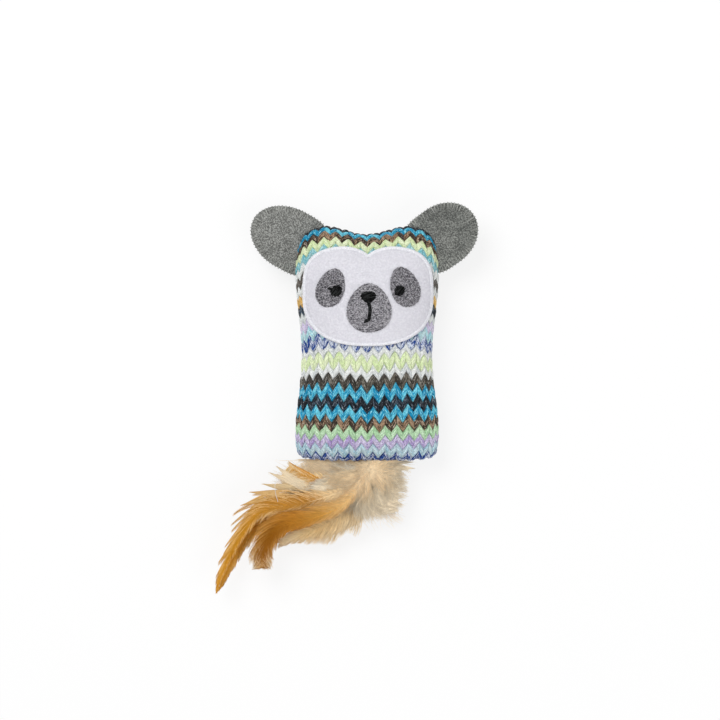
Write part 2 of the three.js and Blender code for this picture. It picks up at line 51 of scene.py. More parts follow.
rng = np.random.default_rng(7)

# Stuffed body, the same pillow as the CAD panels
BODY_LENGTH = 127.8
HEAD_WIDTH = 78.0
WAIST_WIDTH = 70.0
HIP_WIDTH = 79.0
HEAD_LINE = 41.0
WAIST_LINE = -7.0
HIP_LINE = -55.0
FRONT_CROWN = 18.5
BACK_CROWN = 18.0
SEAM_Z = 17.5
NOTCH_DEPTH = 5.3
NOTCH_WIDTH = 48.0
PILLOW_POWER = 2.6
HIP_CORNER_LOSS = 0.035
HEAD_CORNER_LOSS = 0.12
SHOULDER_ANGLE = math.radians(55.5)
HIP_ANGLE = math.radians(58.7)
FLOOR_CLEARANCE = 0.05

# Knit: stripes from the foot to the crown of the head
KNIT_COLUMNS = 15
STITCH_SLANT = 4.4
RIBBON_OVERLAP = 1.06
RIBBON_CREST = 0.45
RIBBON_DIP = 0.85
RIBBON_CREASE = 0.3
BACKING_DEPTH = 0.8
NARROW_STRIPE = 4.85
TOP_GATHER = 0.6
PANEL_STEPS_PER_STITCH = 3

# Each stripe: its height, its first colour, its second colour and the second one's share
TURQUOISE = ((106, 204, 226), (8, 138, 182), 0.48)
WHITE = ((236, 238, 236), (200, 206, 207), 0.3)
LAVENDER = ((212, 203, 230), (174, 154, 204), 0.35)
BROWN = ((164, 134, 106), (54, 43, 35), 0.55)
NAVY_MIX = ((206, 214, 230), (6, 60, 138), 0.54)
YELLOW_GREEN = ((228, 238, 198), (208, 226, 170), 0.3)
NAVY_BLACK = ((60, 76, 92), (8, 15, 24), 0.68)
STRIPES = [
    (6.9, *NAVY_MIX),
    (6.0, (200, 222, 229), (158, 196, 212), 0.3),
    (5.0, *LAVENDER),
    (5.4, (196, 228, 190), (164, 206, 160), 0.3),
    (5.0, *BROWN),
    (5.4, *TURQUOISE),
    (5.4, *NAVY_BLACK),
    (5.6, *TURQUOISE),
    (5.8, (108, 102, 90), (50, 46, 40), 0.58),
    (4.0, *WHITE),
    (6.6, *YELLOW_GREEN),
    (3.2, *WHITE),
    (6.0, *NAVY_MIX),
    (NARROW_STRIPE, (200, 229, 233), (160, 208, 218), 0.3),
    (NARROW_STRIPE, (222, 214, 234), (198, 186, 220), 0.3),
    (NARROW_STRIPE, *WHITE),
    (NARROW_STRIPE, *NAVY_BLACK),
    (NARROW_STRIPE, (233, 194, 118), (204, 158, 80), 0.35),
    (NARROW_STRIPE, *WHITE),
    (NARROW_STRIPE, (98, 90, 82), (60, 55, 50), 0.5),
    (NARROW_STRIPE, *WHITE),
    (NARROW_STRIPE, (168, 212, 216), (108, 180, 192), 0.35),
    (NARROW_STRIPE, *YELLOW_GREEN),
    (NARROW_STRIPE, *BROWN),
    (NARROW_STRIPE, *TURQUOISE),
    (4.2, (52, 54, 58), (30, 32, 36), 0.5),
]
# Colour of the painted highlights that are mixed into the raffia where its streaks glint
PAINTED_GLINT_TONE = (240, 242, 242)

# Threads: three tones from dark to light
THREAD_TONES = {
    "white_satin_thread": ((220, 220, 226), (233, 233, 238), (243, 243, 247)),
    "grey_marled_thread": ((66, 64, 70), (140, 138, 143), (188, 186, 191)),
    "dark_grey_marled_thread": ((46, 44, 50), (120, 118, 123), (178, 176, 181)),
    # The black thread's lightest tone is painted highlight, where the satin stitches would catch the light
    "black_satin_thread_painted_highlights": ((3, 3, 4), (7, 7, 8), (52, 54, 54)),
    "grey_overcast_thread": ((122, 123, 119), (150, 151, 147), (172, 173, 168)),
    "white_stray_fibre": ((226, 224, 220), (236, 235, 232), (244, 243, 241)),
    "straw_binding_thread": ((206, 184, 150), (226, 206, 172), (238, 220, 190)),
    "white_sewing_thread": ((206, 206, 210), (226, 226, 230), (240, 240, 243)),
}

# Fibres: a dark tone, a light tone, the flecks' scale, and the scale and share of wider patches
FIBRES = {
    "white_plush": ((220, 219, 225), (232, 231, 236), 900, 60, 0.25),
    # Both ears are the same felt; the right ear's darker tones are painted shade for the light that falls on
    # it
    "left_grey_felt": ((98, 99, 96), (176, 177, 173), 1500, 170, 0.9),
    "right_grey_felt": ((86, 88, 85), (164, 166, 161), 1500, 170, 0.9),
    "polyester_fibre": ((226, 225, 220), (247, 246, 243), 700, 150, 0.3),
}

# Woven cloths: a dark tone, a light tone and the threads a metre
CLOTHS = {
    "white_ribbon": ((196, 196, 200), (232, 232, 236), 1800),
    "pouch_cotton_weave": ((196, 184, 150), (226, 217, 190), 1300),
}


def linear(colour):
    """An sRGB colour of 0 to 255 as linear light."""
    share = np.array(colour, float) / 255
    light = np.where(share <= 0.04045, share / 12.92, ((share + 0.055) / 1.055) ** 2.4)
    return (*light.tolist(), 1.0)


def new_object(name, data):
    piece = bpy.data.objects.new(name, data)
    bpy.context.scene.collection.objects.link(piece)
    return piece


def make_mesh(name, points, faces=(), edges=(), smooth=True):
    """A new object at the origin from points in millimetres."""
    mesh = bpy.data.meshes.new(name)
    mesh.from_pydata((np.asarray(points, float) * MM).tolist(), list(edges), list(faces))
    mesh.polygons.foreach_set("use_smooth", [smooth] * len(mesh.polygons))
    mesh.update()
    return new_object(name, mesh)


def set_attribute(mesh, name, values, kind="FLOAT"):
    """Stores one value a point under a name that trees and materials read."""
    attribute = mesh.attributes.new(name, kind, "POINT")
    attribute.data.foreach_set("value" if kind == "FLOAT" else "vector", np.ravel(values).astype(np.float32))


def grid_faces(across, along, closed=False):
    """Quads of a grid of points that is numbered row by row."""
    faces = []
    for j in range(along - 1):
        for i in range(across if closed else across - 1):
            k = (i + 1) % across
            faces.append((j * across + i, j * across + k, (j + 1) * across + k, (j + 1) * across + i))
    return faces


# Camera, floor and lights. A lamp is its place, its width in metres and its power in watts.
PHOTO_PIXELS = 720
PIXEL_SIZE = 0.54
FRAME_WIDTH = PHOTO_PIXELS * PIXEL_SIZE
PHOTO_CENTRE = (-3.8, -9.2)
CAMERA_LENS = 135.0
CAMERA_SENSOR = 36.0
CAMERA_CLIP = 20
FLOOR_REACH = 6000.0
FLOOR_GLOW = 0.8
FLOOR_TONE = (250, 250, 250)
FLOOR_TONE_SEEN = (253, 253, 253)
BACKGROUND_TONE = (244, 244, 244)
SKY_STRENGTH = 0.52
LAMPS = {"key": ((-0.5, 0.55, 1.1), 0.9, 10.7), "fill": ((0.9, -0.5, 0.9), 1.2, 5.9)}


def make_camera():
    data = bpy.data.cameras.new("camera")
    data.lens = CAMERA_LENS
    data.sensor_width = CAMERA_SENSOR
    data.clip_end = CAMERA_CLIP
    camera = new_object("camera", data)
    height = SEAM_Z + FRAME_WIDTH * CAMERA_LENS / CAMERA_SENSOR
    camera.location = (PHOTO_CENTRE[0] * MM, PHOTO_CENTRE[1] * MM, height * MM)
    bpy.context.scene.camera = camera


def make_lamp(name, place, size, watts):
    data = bpy.data.lights.new(name, "AREA")
    data.shape = "DISK"
    data.size = size
    data.energy = watts
    lamp = new_object(name, data)
    lamp.location = place
    lamp.rotation_euler = (-Vector(place)).to_track_quat("-Z", "Y").to_euler()


class Nodes:
    """Short calls that add nodes to a tree."""

    def __init__(self, tree):
        self.tree = tree

    def feed(self, node, inputs):
        """Links each input that is given as a socket, and sets the others to their values."""
        for key, value in inputs.items():
            if isinstance(value, bpy.types.NodeSocket):
                self.tree.links.new(value, node.inputs[key])
            else:
                node.inputs[key].default_value = value
        return node

    def add(self, kind, inputs=None, **settings):
        node = self.tree.nodes.new(kind)
        for key, value in settings.items():
            setattr(node, key, value)
        return self.feed(node, inputs or {})

    def maths(self, operation, *values, clamp=False):
        inputs = dict(enumerate(values))
        return self.add("ShaderNodeMath", inputs, operation=operation, use_clamp=clamp).outputs[0]

    def smooth_range(self, value, low, high, to_low=0.0, to_high=1.0):
        inputs = {"Value": value, "From Min": low, "From Max": high, "To Min": to_low, "To Max": to_high}
        return self.add("ShaderNodeMapRange", inputs, interpolation_type="SMOOTHSTEP").outputs[0]

    def mix_colour(self, share, first, second, blend="MIX"):
        inputs = {0: share, 6: first, 7: second}
        return self.add("ShaderNodeMix", inputs, data_type="RGBA", blend_type=blend).outputs[2]

    def shaded(self, colour, shade):
        """A colour made darker or lighter by a factor."""
        return self.mix_colour(1.0, colour, self.vector(X=shade, Y=shade, Z=shade), "MULTIPLY")

    def noise(self, dimensions="3D", **inputs):
        return self.add("ShaderNodeTexNoise", inputs, noise_dimensions=dimensions).outputs[0]

    def bump(self, height, strength, distance):
        """The normal of a surface that a height roughens, by a distance in metres."""
        inputs = {"Height": height, "Strength": strength, "Distance": distance}
        return self.add("ShaderNodeBump", inputs).outputs[0]

    def vector(self, **parts):
        return self.add("ShaderNodeCombineXYZ", parts).outputs[0]

    def parts(self, vector):
        return self.add("ShaderNodeSeparateXYZ", {0: vector}).outputs

    def scaled(self, vector, factor):
        return self.add("ShaderNodeVectorMath", {0: vector, "Scale": factor}, operation="SCALE").outputs[0]

    def attribute(self, name, output="Fac"):
        return self.add("ShaderNodeAttribute", attribute_name=name).outputs[output]

    def ramp(self, value, stops, steps=False):
        node = self.add("ShaderNodeValToRGB", {"Fac": value})
        node.color_ramp.interpolation = "CONSTANT" if steps else "EASE"
        elements = node.color_ramp.elements
        while len(elements) < len(stops):
            elements.new(1.0)
        for element, (position, colour) in zip(elements, stops):
            element.position = position
            element.color = colour
        return node


def new_material(name):
    material = bpy.data.materials.new(name)
    material.use_nodes = True
    nodes = Nodes(material.node_tree)
    shader = material.node_tree.nodes["Principled BSDF"]
    return material, nodes, shader


def seen_directly(nodes):
    """1 where the camera looks, directly or in a reflection, and 0 for the light that falls on things."""
    rays = nodes.add("ShaderNodeLightPath")
    seen = nodes.maths("ADD", rays.outputs["Is Camera Ray"], rays.outputs["Is Glossy Ray"])
    return nodes.maths("ADD", seen, rays.outputs["Is Transmission Ray"], clamp=True)


def make_floor():
    material, nodes, shader = new_material("pale_floor")
    nodes.feed(shader, {"Base Color": linear(FLOOR_TONE), "Roughness": 0.8, "Specular IOR Level": 0.0})
    white = nodes.add("ShaderNodeEmission", {"Color": linear(FLOOR_TONE_SEEN), "Strength": 1.0})
    share = nodes.maths("MULTIPLY", seen_directly(nodes), FLOOR_GLOW)
    mixed = nodes.add("ShaderNodeMixShader", {0: share, 1: shader.outputs[0], 2: white.outputs[0]})
    nodes.feed(material.node_tree.nodes["Material Output"], {"Surface": mixed.outputs[0]})
    corners = [(x * FLOOR_REACH, y * FLOOR_REACH, 0) for x, y in ((-1, -1), (1, -1), (1, 1), (-1, 1))]
    floor = make_mesh("floor", corners, [(0, 1, 2, 3)], smooth=False)
    floor.data.materials.append(material)


def make_world():
    """Even light from all round, with a white background behind the floor's edge."""
    world = bpy.data.worlds.new("studio")
    bpy.context.scene.world = world
    world.use_nodes = True
    nodes = Nodes(world.node_tree)
    light = world.node_tree.nodes["Background"]
    nodes.feed(light, {"Color": (1, 1, 1, 1), "Strength": SKY_STRENGTH})
    white = nodes.add("ShaderNodeBackground", {"Color": linear(BACKGROUND_TONE), "Strength": 1.0})
    share = seen_directly(nodes)
    mixed = nodes.add("ShaderNodeMixShader", {0: share, 1: light.outputs[0], 2: white.outputs[0]})
    nodes.feed(world.node_tree.nodes["World Output"], {"Surface": mixed.outputs[0]})


make_camera()
make_floor()
for lamp_name, lamp_values in LAMPS.items():
    make_lamp(lamp_name, *lamp_values)
make_world()
bpy.context.scene.view_settings.view_transform = "Standard"


# Curves and lines in the plane
def ease(value):
    return 0.5 - 0.5 * np.cos(np.pi * np.clip(value, 0, 1))


def polar(angle, reach, middle=(0.0, 0.0)):
    """Points at a reach from a middle at each angle."""
    return np.stack([middle[0] + reach * np.cos(angle), middle[1] + reach * np.sin(angle)], -1)


def left_of(way):
    """Headings turned a quarter turn to the left."""
    return np.stack([-way[..., 1], way[..., 0]], -1)


def lengths_along(points):
    """The length of a line up to each of its points."""
    return np.concatenate([[0], np.cumsum(np.linalg.norm(np.diff(points, axis=0), axis=1))])


def at_lengths(wanted, length, points):
    """What a line's points hold at the wanted lengths along it."""
    return np.stack([np.interp(wanted, length, points[:, k]) for k in (0, 1)], -1)


# Pillow surface
def body_half_width(y):
    above = y > WAIST_LINE
    span = np.where(above, HEAD_LINE - WAIST_LINE, WAIST_LINE - HIP_LINE)
    end = np.where(above, HEAD_WIDTH, HIP_WIDTH)
    return (WAIST_WIDTH + (end - WAIST_WIDTH) * ease(np.abs(y - WAIST_LINE) / span)) / 2


def body_half_length(x, y):
    from_notch = np.clip(2 * np.abs(x) / NOTCH_WIDTH, 0, 1)
    notch = NOTCH_DEPTH * np.cos(from_notch * np.pi / 2) ** 2
    return BODY_LENGTH / 2 - np.where(y < 0, 0, notch)


def pillow_field(x, y):
    loss = HIP_CORNER_LOSS + (HEAD_CORNER_LOSS - HIP_CORNER_LOSS) * np.clip(0.5 + y / BODY_LENGTH, 0, 1)
    fit = (1 - loss) ** (1 / PILLOW_POWER)
    across = 1 - (np.abs(x) * fit / body_half_width(y)) ** PILLOW_POWER
    along = 1 - (np.abs(y) * fit / body_half_length(x, y)) ** PILLOW_POWER
    return (np.maximum(0, across) * np.maximum(0, along) - loss) / (1 - loss)


SWELL_STEP = 2.0
SWELL_REACH = (44.0, 68.0)
swell = np.zeros([int(2 * reach / SWELL_STEP) + 1 for reach in SWELL_REACH])


def front_height(x, y):
    """Height of the front panel's surface over the floor, with what the stuffing adds to it."""
    x, y = np.asarray(x, float), np.asarray(y, float)
    places = [np.clip((value + reach) / SWELL_STEP, 0, count - 1.001)
              for value, reach, count in zip((x, y), SWELL_REACH, swell.shape)]
    (i, j), (u, v) = ([place.astype(int) for place in places], [place % 1 for place in places])
    near = (1 - v) * swell[i, j] + v * swell[i, j + 1]
    far = (1 - v) * swell[i + 1, j] + v * swell[i + 1, j + 1]
    added = (1 - u) * near + u * far
    return SEAM_Z + FRONT_CROWN * np.sqrt(np.maximum(0, pillow_field(x, y))) + added


def body_outline(angle):
    """Points of the side seam at the given angles."""
    angle = np.asarray(angle, float)
    inside, outside = np.zeros_like(angle), np.full_like(angle, BODY_LENGTH)
    for _ in range(40):
        middle = (inside + outside) / 2
        filled = pillow_field(middle * np.cos(angle), middle * np.sin(angle)) > 0
        inside, outside = np.where(filled, middle, inside), np.where(filled, outside, middle)
    return polar(angle, inside)


def outline_side(start, end, shares):
    """Points of the seam from one corner to the next, at shares of the way along it."""
    points = body_outline(np.linspace(start, end, 600))
    length = lengths_along(points)
    return at_lengths(shares * length[-1], length, points)


def unroll(half_span, crown):
    """Turns a share of the way over the pillow's curve into a share of the way across it."""
    across = np.sin(np.linspace(0, np.pi / 2, 800))
    rise = crown * np.sqrt(np.maximum(0, 1 - across**PILLOW_POWER))
    steps = np.hypot(np.diff(across) * half_span, np.diff(rise))
    length = np.concatenate([[0], np.cumsum(steps)])
    return lambda share: np.sign(share) * np.interp(np.abs(share), length / length[-1], across)


def panel_points(crown, side):
    """The grid of a panel, by columns and stripes of stitches, gathered in the middle of the top."""
    columns = np.linspace(0, 1, KNIT_COLUMNS * PANEL_STEPS_PER_STITCH + 1)
    stripes = np.linspace(0, len(STRIPES), len(STRIPES) * PANEL_STEPS_PER_STITCH + 1)
    heights = np.concatenate([[0], np.cumsum([stripe[0] for stripe in STRIPES])])
    way_up = np.interp(stripes, np.arange(len(heights)), heights / heights[-1])
    across = (1 + unroll(HEAD_WIDTH / 2, crown)(2 * columns - 1)) / 2
    pulled = TOP_GATHER * np.sin(np.pi * columns)[None] ** 2 * ((1 - way_up) * way_up**6)[:, None]
    along = (1 + unroll(BODY_LENGTH / 2, crown)(2 * (way_up[:, None] + pulled) - 1)) / 2
    foot = outline_side(-math.pi + HIP_ANGLE, -HIP_ANGLE, across)
    top = outline_side(math.pi - SHOULDER_ANGLE, SHOULDER_ANGLE, across)
    left = outline_side(math.pi + HIP_ANGLE, math.pi - SHOULDER_ANGLE, along)
    right = outline_side(-HIP_ANGLE, SHOULDER_ANGLE, along)
    u, v = across[None, :, None], along[..., None]
    flat = (1 - v) * foot[None] + v * top[None] + (1 - u) * left + u * right
    flat = flat - (1 - v) * ((1 - u) * foot[0] + u * foot[-1]) - v * ((1 - u) * top[0] + u * top[-1])
    lift = crown * np.sqrt(np.maximum(0, pillow_field(flat[..., 0], flat[..., 1])))
    edge = np.zeros(lift.shape, bool)
    edge[[0, -1], :] = True
    edge[:, [0, -1]] = True
    points = np.dstack([flat, SEAM_Z + side * np.where(edge, 0, lift)])
    return points, edge


# Trees that repeat small things over a surface or along a path
def new_group(name, kind, inputs, outputs):
    """A node group with (name, kind, default) rows of inputs and (name, kind) rows of outputs."""
    tree = bpy.data.node_groups.new(name, kind)
    for label, socket_kind, default in inputs:
        socket = tree.interface.new_socket(name=label, in_out="INPUT", socket_type="NodeSocket" + socket_kind)
        if default is not None:
            socket.default_value = default
    for label, socket_kind in outputs:
        tree.interface.new_socket(name=label, in_out="OUTPUT", socket_type="NodeSocket" + socket_kind)
    nodes = Nodes(tree)
    return tree, nodes, nodes.add("NodeGroupInput").outputs


def new_tree(name, inputs):
    """A geometry tree with rows of inputs after the geometry."""
    rows = [("Geometry", "Geometry", None), *inputs]
    return new_group(name, "GeometryNodeTree", rows, [("Geometry", "Geometry")])


def end_tree(nodes, geometry, material):
    real = nodes.add("GeometryNodeRealizeInstances", {"Geometry": geometry})
    painted = nodes.add("GeometryNodeSetMaterial", {"Geometry": real.outputs[0], "Material": material})
    nodes.add("NodeGroupOutput", {0: painted.outputs[0]})


def grow(source, tree, values):
    """Replaces an object's mesh by what the tree makes of it, with the named inputs set."""
    modifier = source.modifiers.new(tree.name, "NODES")
    modifier.node_group = tree
    for item in tree.interface.items_tree:
        if item.in_out == "INPUT" and item.name in values:
            modifier[item.identifier] = values[item.name]
    graph = bpy.context.evaluated_depsgraph_get()
    evaluated = source.evaluated_get(graph)
    mesh = bpy.data.meshes.new_from_object(evaluated, preserve_all_data_layers=True, depsgraph=graph)
    source.modifiers.remove(modifier)
    source.data = mesh
    return source


def store(nodes, geometry, name, value, kind="FLOAT", domain="POINT"):
    inputs = {"Geometry": geometry, "Name": name, "Value": value}
    node = nodes.add("GeometryNodeStoreNamedAttribute", inputs, data_type=kind, domain=domain)
    return node.outputs[0]


def named(nodes, name, kind="FLOAT"):
    return nodes.add("GeometryNodeInputNamedAttribute", {"Name": name}, data_type=kind).outputs[0]


def random_value(nodes, low, high, seed, identity=None):
    inputs = {2: low, 3: high, 8: seed}
    if identity is not None:
        inputs[7] = identity
    return nodes.add("FunctionNodeRandomValue", inputs, data_type="FLOAT").outputs[1]


def knit_tree():
    """V stitches of flat ribbon over a panel whose UV map counts columns across and stripes upwards."""
    tree, nodes, given = new_tree("knit_stitches", [
        ("Columns", "Int", KNIT_COLUMNS),
        ("Stripes", "Int", len(STRIPES)),
        ("Slant", "Float", 0.9),
        ("Ribbon Width", "Float", RIBBON_OVERLAP),
        ("Crest", "Float", RIBBON_CREST * MM),
        ("Dip", "Float", RIBBON_DIP * MM),
        ("Crease", "Float", RIBBON_CREASE * MM),
        ("Backing Depth", "Float", BACKING_DEPTH * MM),
        ("Seed", "Int", 3),
        ("Material", "Material", None),
    ])
    maths = nodes.maths
    legs_across = maths("MULTIPLY", given["Columns"], 2)
    leg_count = maths("MULTIPLY", legs_across, given["Stripes"])
    points = nodes.add("GeometryNodePoints", {"Count": leg_count})
    strip = nodes.add("GeometryNodeMeshGrid", {"Size X": 1, "Size Y": 1, "Vertices X": 9, "Vertices Y": 8})
    inputs = {"Points": points.outputs[0], "Instance": strip.outputs[0]}
    placed = nodes.add("GeometryNodeInstanceOnPoints", inputs)
    index = nodes.add("GeometryNodeInputIndex").outputs[0]
    legs = store(nodes, placed.outputs[0], "leg", index, domain="INSTANCE")
    legs = nodes.add("GeometryNodeRealizeInstances", {"Geometry": legs}).outputs[0]

    leg = named(nodes, "leg")
    hand = maths("MODULO", leg, 2)
    hand = maths("MULTIPLY_ADD", hand, 2, -1)
    stripe = maths("FLOOR", maths("DIVIDE", maths("ADD", leg, 0.5), legs_across))
    in_stripe = maths("SUBTRACT", leg, maths("MULTIPLY", stripe, legs_across))
    column = maths("FLOOR", maths("DIVIDE", maths("ADD", in_stripe, 0.25), 2))
    position = nodes.add("GeometryNodeInputPosition").outputs[0]
    local = nodes.parts(position)
    along = maths("ADD", local["X"], 0.5)
    across = maths("MULTIPLY", local["Y"], maths("MULTIPLY", hand, 2))
    wander = random_value(nodes, -0.08, 0.08, given["Seed"], leg)
    lift = random_value(nodes, 0.75, 1.1, maths("ADD", given["Seed"], 1), leg)
    twist = random_value(nodes, 0.0, 1.0, maths("ADD", given["Seed"], 2), leg)

    u = maths("MULTIPLY_ADD", maths("MULTIPLY", hand, along), 0.5, maths("ADD", column, 0.5))
    u = maths("DIVIDE", u, given["Columns"])
    slope = maths("MULTIPLY", maths("SUBTRACT", along, 0.5), given["Slant"])
    half = maths("MULTIPLY", maths("MULTIPLY", across, given["Ribbon Width"]), 0.5)
    v = maths("ADD", maths("ADD", stripe, 0.5), maths("ADD", slope, half))
    v = maths("DIVIDE", maths("ADD", v, wander), given["Stripes"])
    past_foot = maths("LESS_THAN", v, 0.0)
    past_top = maths("GREATER_THAN", v, 1.0)
    place = nodes.vector(X=u, Y=v)

    def from_panel(value):
        return nodes.add("GeometryNodeSampleUVSurface", {
            "Mesh": given["Geometry"],
            "Value": value,
            "Source UV Map": named(nodes, "weave", "FLOAT_VECTOR"),
            "Sample UV": place,
        }, data_type="FLOAT_VECTOR").outputs[0]

    surface = from_panel(position)
    outward = from_panel(named(nodes, "outward", "FLOAT_VECTOR"))
    edge = maths("POWER", maths("ABSOLUTE", across), 2.4)
    round_off = maths("POWER", maths("MAXIMUM", maths("SUBTRACT", 1, edge), 0.0), 0.6)
    ends = maths("POWER", maths("SINE", maths("MULTIPLY", along, math.pi)), 0.5)
    arch = maths("MULTIPLY_ADD", ends, 0.45, 0.55)
    rise = maths("MULTIPLY", maths("MULTIPLY", round_off, arch), lift)
    height = maths("MULTIPLY", rise, maths("ADD", given["Crest"], given["Dip"]))
    crease_place = maths("MULTIPLY_ADD", twist, 40, maths("MULTIPLY", across, 2.6))
    creases = nodes.noise("1D", W=crease_place, Scale=1.0, Detail=1.0)
    fold = maths("MULTIPLY", maths("SUBTRACT", creases, 0.5), given["Crease"])
    height = maths("SUBTRACT", maths("ADD", height, fold), given["Dip"])
    inputs = {0: surface, 1: nodes.scaled(outward, height)}
    wrapped = nodes.add("ShaderNodeVectorMath", inputs, operation="ADD").outputs[0]

    legs = store(nodes, legs, "ribbon", nodes.vector(X=along, Y=across), "FLOAT_VECTOR")
    legs = store(nodes, legs, "stripe", maths("ADD", stripe, 0.5))
    legs = store(nodes, legs, "twist", twist)
    legs = store(nodes, legs, "cut", maths("MAXIMUM", past_foot, past_top))
    legs = nodes.add("GeometryNodeSetPosition", {"Geometry": legs, "Position": wrapped}).outputs[0]
    cut = maths("GREATER_THAN", named(nodes, "cut"), 0.5)
    legs = nodes.add("GeometryNodeDeleteGeometry", {"Geometry": legs, "Selection": cut}).outputs[0]

    outward = named(nodes, "outward", "FLOAT_VECTOR")
    sunk = nodes.scaled(outward, maths("MULTIPLY", given["Backing Depth"], -1))
    backing = nodes.add("GeometryNodeSetPosition", {"Geometry": given["Geometry"], "Offset": sunk}).outputs[0]
    both = nodes.add("GeometryNodeJoinGeometry")
    tree.links.new(legs, both.inputs[0])
    tree.links.new(backing, both.inputs[0])
    end_tree(nodes, both.outputs[0], given["Material"])
    return tree


def streak_group():
    """Lengthwise streaks of a ribbon or thread, as a share and as a height for a bump."""
    group, nodes, given = new_group("ribbon_streaks", "ShaderNodeTree", [
        ("Along", "Float", 0.0),
        ("Across", "Float", 0.0),
        ("Seed", "Float", 0.0),
        ("Fineness", "Float", 6.0),
        ("Length", "Float", 1.5),
    ], [("Streak", "Float"), ("Sparkle", "Float")])
    place = nodes.vector(
        X=nodes.maths("MULTIPLY", given["Along"], given["Length"]),
        Y=nodes.maths("MULTIPLY", given["Across"], given["Fineness"]),
        Z=nodes.maths("MULTIPLY", given["Seed"], 50),
    )
    streak = nodes.noise(Vector=place, Scale=1.0, Detail=3.0, Roughness=0.6)
    fine = nodes.noise(Vector=place, Scale=2.7, Detail=2.0, Roughness=0.5)
    nodes.add("NodeGroupOutput", {
        "Streak": nodes.smooth_range(streak, 0.32, 0.68),
        "Sparkle": nodes.smooth_range(fine, 0.35, 0.65),
    })
    return group


STREAKS = streak_group()


def raffia_material():
    """Flat raffia ribbon whose colour goes by the stripe, in two tones that run along the ribbon, with painted
    shade where its edges tuck under and painted highlights where its streaks glint.
    """
    material, nodes, shader = new_material("raffia_knit")
    ribbon = nodes.parts(nodes.attribute("ribbon", "Vector"))
    twist = nodes.attribute("twist")
    number = nodes.maths("DIVIDE", nodes.attribute("stripe"), len(STRIPES))
    tones = []
    for tone in (1, 2):
        stops = [
            (i / len(STRIPES), (*linear(stripe[tone])[:3], stripe[3]))
            for i, stripe in enumerate(STRIPES)
        ]
        tones.append(nodes.ramp(number, stops, steps=True).outputs)
    inputs = {"Along": ribbon["X"], "Across": ribbon["Y"], "Seed": twist, "Fineness": 3.0, "Length": 2.2}
    streak, sparkle = nodes.add("ShaderNodeGroup", inputs, node_tree=STREAKS).outputs[:2]
    maths = nodes.maths
    leaning = maths("MULTIPLY_ADD", maths("SUBTRACT", twist, 0.5), 0.65, streak)
    share = tones[0][1]
    second = nodes.smooth_range(leaning, maths("SUBTRACT", share, 0.12), maths("ADD", share, 0.12), 1.0, 0.0)
    colour = nodes.mix_colour(second, tones[0][0], tones[1][0])
    shade = nodes.smooth_range(sparkle, 0.0, 1.0, 0.52, 1.44)
    # Painted shade: the ribbon darkens towards its edges, where it tucks under its neighbours
    painted_tuck_shade = maths("POWER", maths("ABSOLUTE", ribbon["Y"]), 5.0)
    shade = maths("MULTIPLY", shade, maths("MULTIPLY_ADD", painted_tuck_shade, -0.3, 1.0))
    depth = nodes.add("ShaderNodeSeparateColor", {0: tones[0][0]}).outputs["Green"]
    depth = maths("MULTIPLY_ADD", depth, -0.7, 1.1)
    shade = maths("MULTIPLY_ADD", maths("SUBTRACT", shade, 1.0), depth, 1.0)
    # Painted highlight: a near-white tone mixed into the colour where streak and sparkle are both high
    painted_glint = nodes.smooth_range(maths("MULTIPLY", streak, sparkle), 0.5, 0.95, 0.0, 0.42)
    nodes.feed(shader, {
        "Base Color": nodes.mix_colour(painted_glint, nodes.shaded(colour, shade), linear(PAINTED_GLINT_TONE)),
        "Roughness": nodes.smooth_range(streak, 0, 1, 0.48, 0.26),
        "Specular IOR Level": 0.2,
        "Normal": nodes.bump(streak, 0.8, 0.0004),
    })
    return material


# Body: a closed pillow form, then the knit over each side of it
def body_form():
    """The stuffed form as one closed mesh, and for each side the numbers of its grid's points."""
    front, edge = panel_points(FRONT_CROWN, 1)
    back, _ = panel_points(BACK_CROWN, -1)
    along, across = edge.shape
    front_numbers = np.arange(front.shape[0] * front.shape[1]).reshape(along, across)
    back_numbers = front_numbers.copy()
    inner = ~edge
    back_numbers[inner] = front_numbers.size + np.arange(inner.sum())
    points = np.concatenate([front.reshape(-1, 3), back[inner]])
    quads = np.array(grid_faces(across, along))
    faces = front_numbers.ravel()[quads].tolist() + back_numbers.ravel()[quads][:, ::-1].tolist()
    return make_mesh("body_form", points, faces), front_numbers, back_numbers


SWELL_LIMIT = 1.3
SWELL_STARTS_AT = 1.0
SWELL_FADE = 6.0
STUFFING_FRAMES = 20
STUFFING_LUMP = 16.0
CLOTH_SETTINGS = {
    "quality": 6,
    "use_pressure": True,
    "uniform_pressure_force": 120.0,
    "mass": 0.003,
    "tension_stiffness": 5.0,
    "compression_stiffness": 5.0,
    "shear_stiffness": 5.0 / 3,
    "bending_stiffness": 0.05,
    "vertex_group_pressure": "filled",
    "vertex_group_mass": "seam",
}


def form_points(form):
    return np.array([vertex.co for vertex in form.data.vertices]) / MM


def heights_from_above(form):
    """Height of a form's top over a grid of places, or 0 beside it."""
    tree = BVHTree.FromPolygons([tuple(point) for point in form_points(form)],
                                [tuple(polygon.vertices) for polygon in form.data.polygons])
    heights = np.zeros(swell.shape)
    for i, j in np.ndindex(*swell.shape):
        place = (i * SWELL_STEP - SWELL_REACH[0], j * SWELL_STEP - SWELL_REACH[1], 100)
        hit = tree.ray_cast(place, (0, 0, -1))[0]
        heights[i, j] = hit.z if hit else 0
    return heights


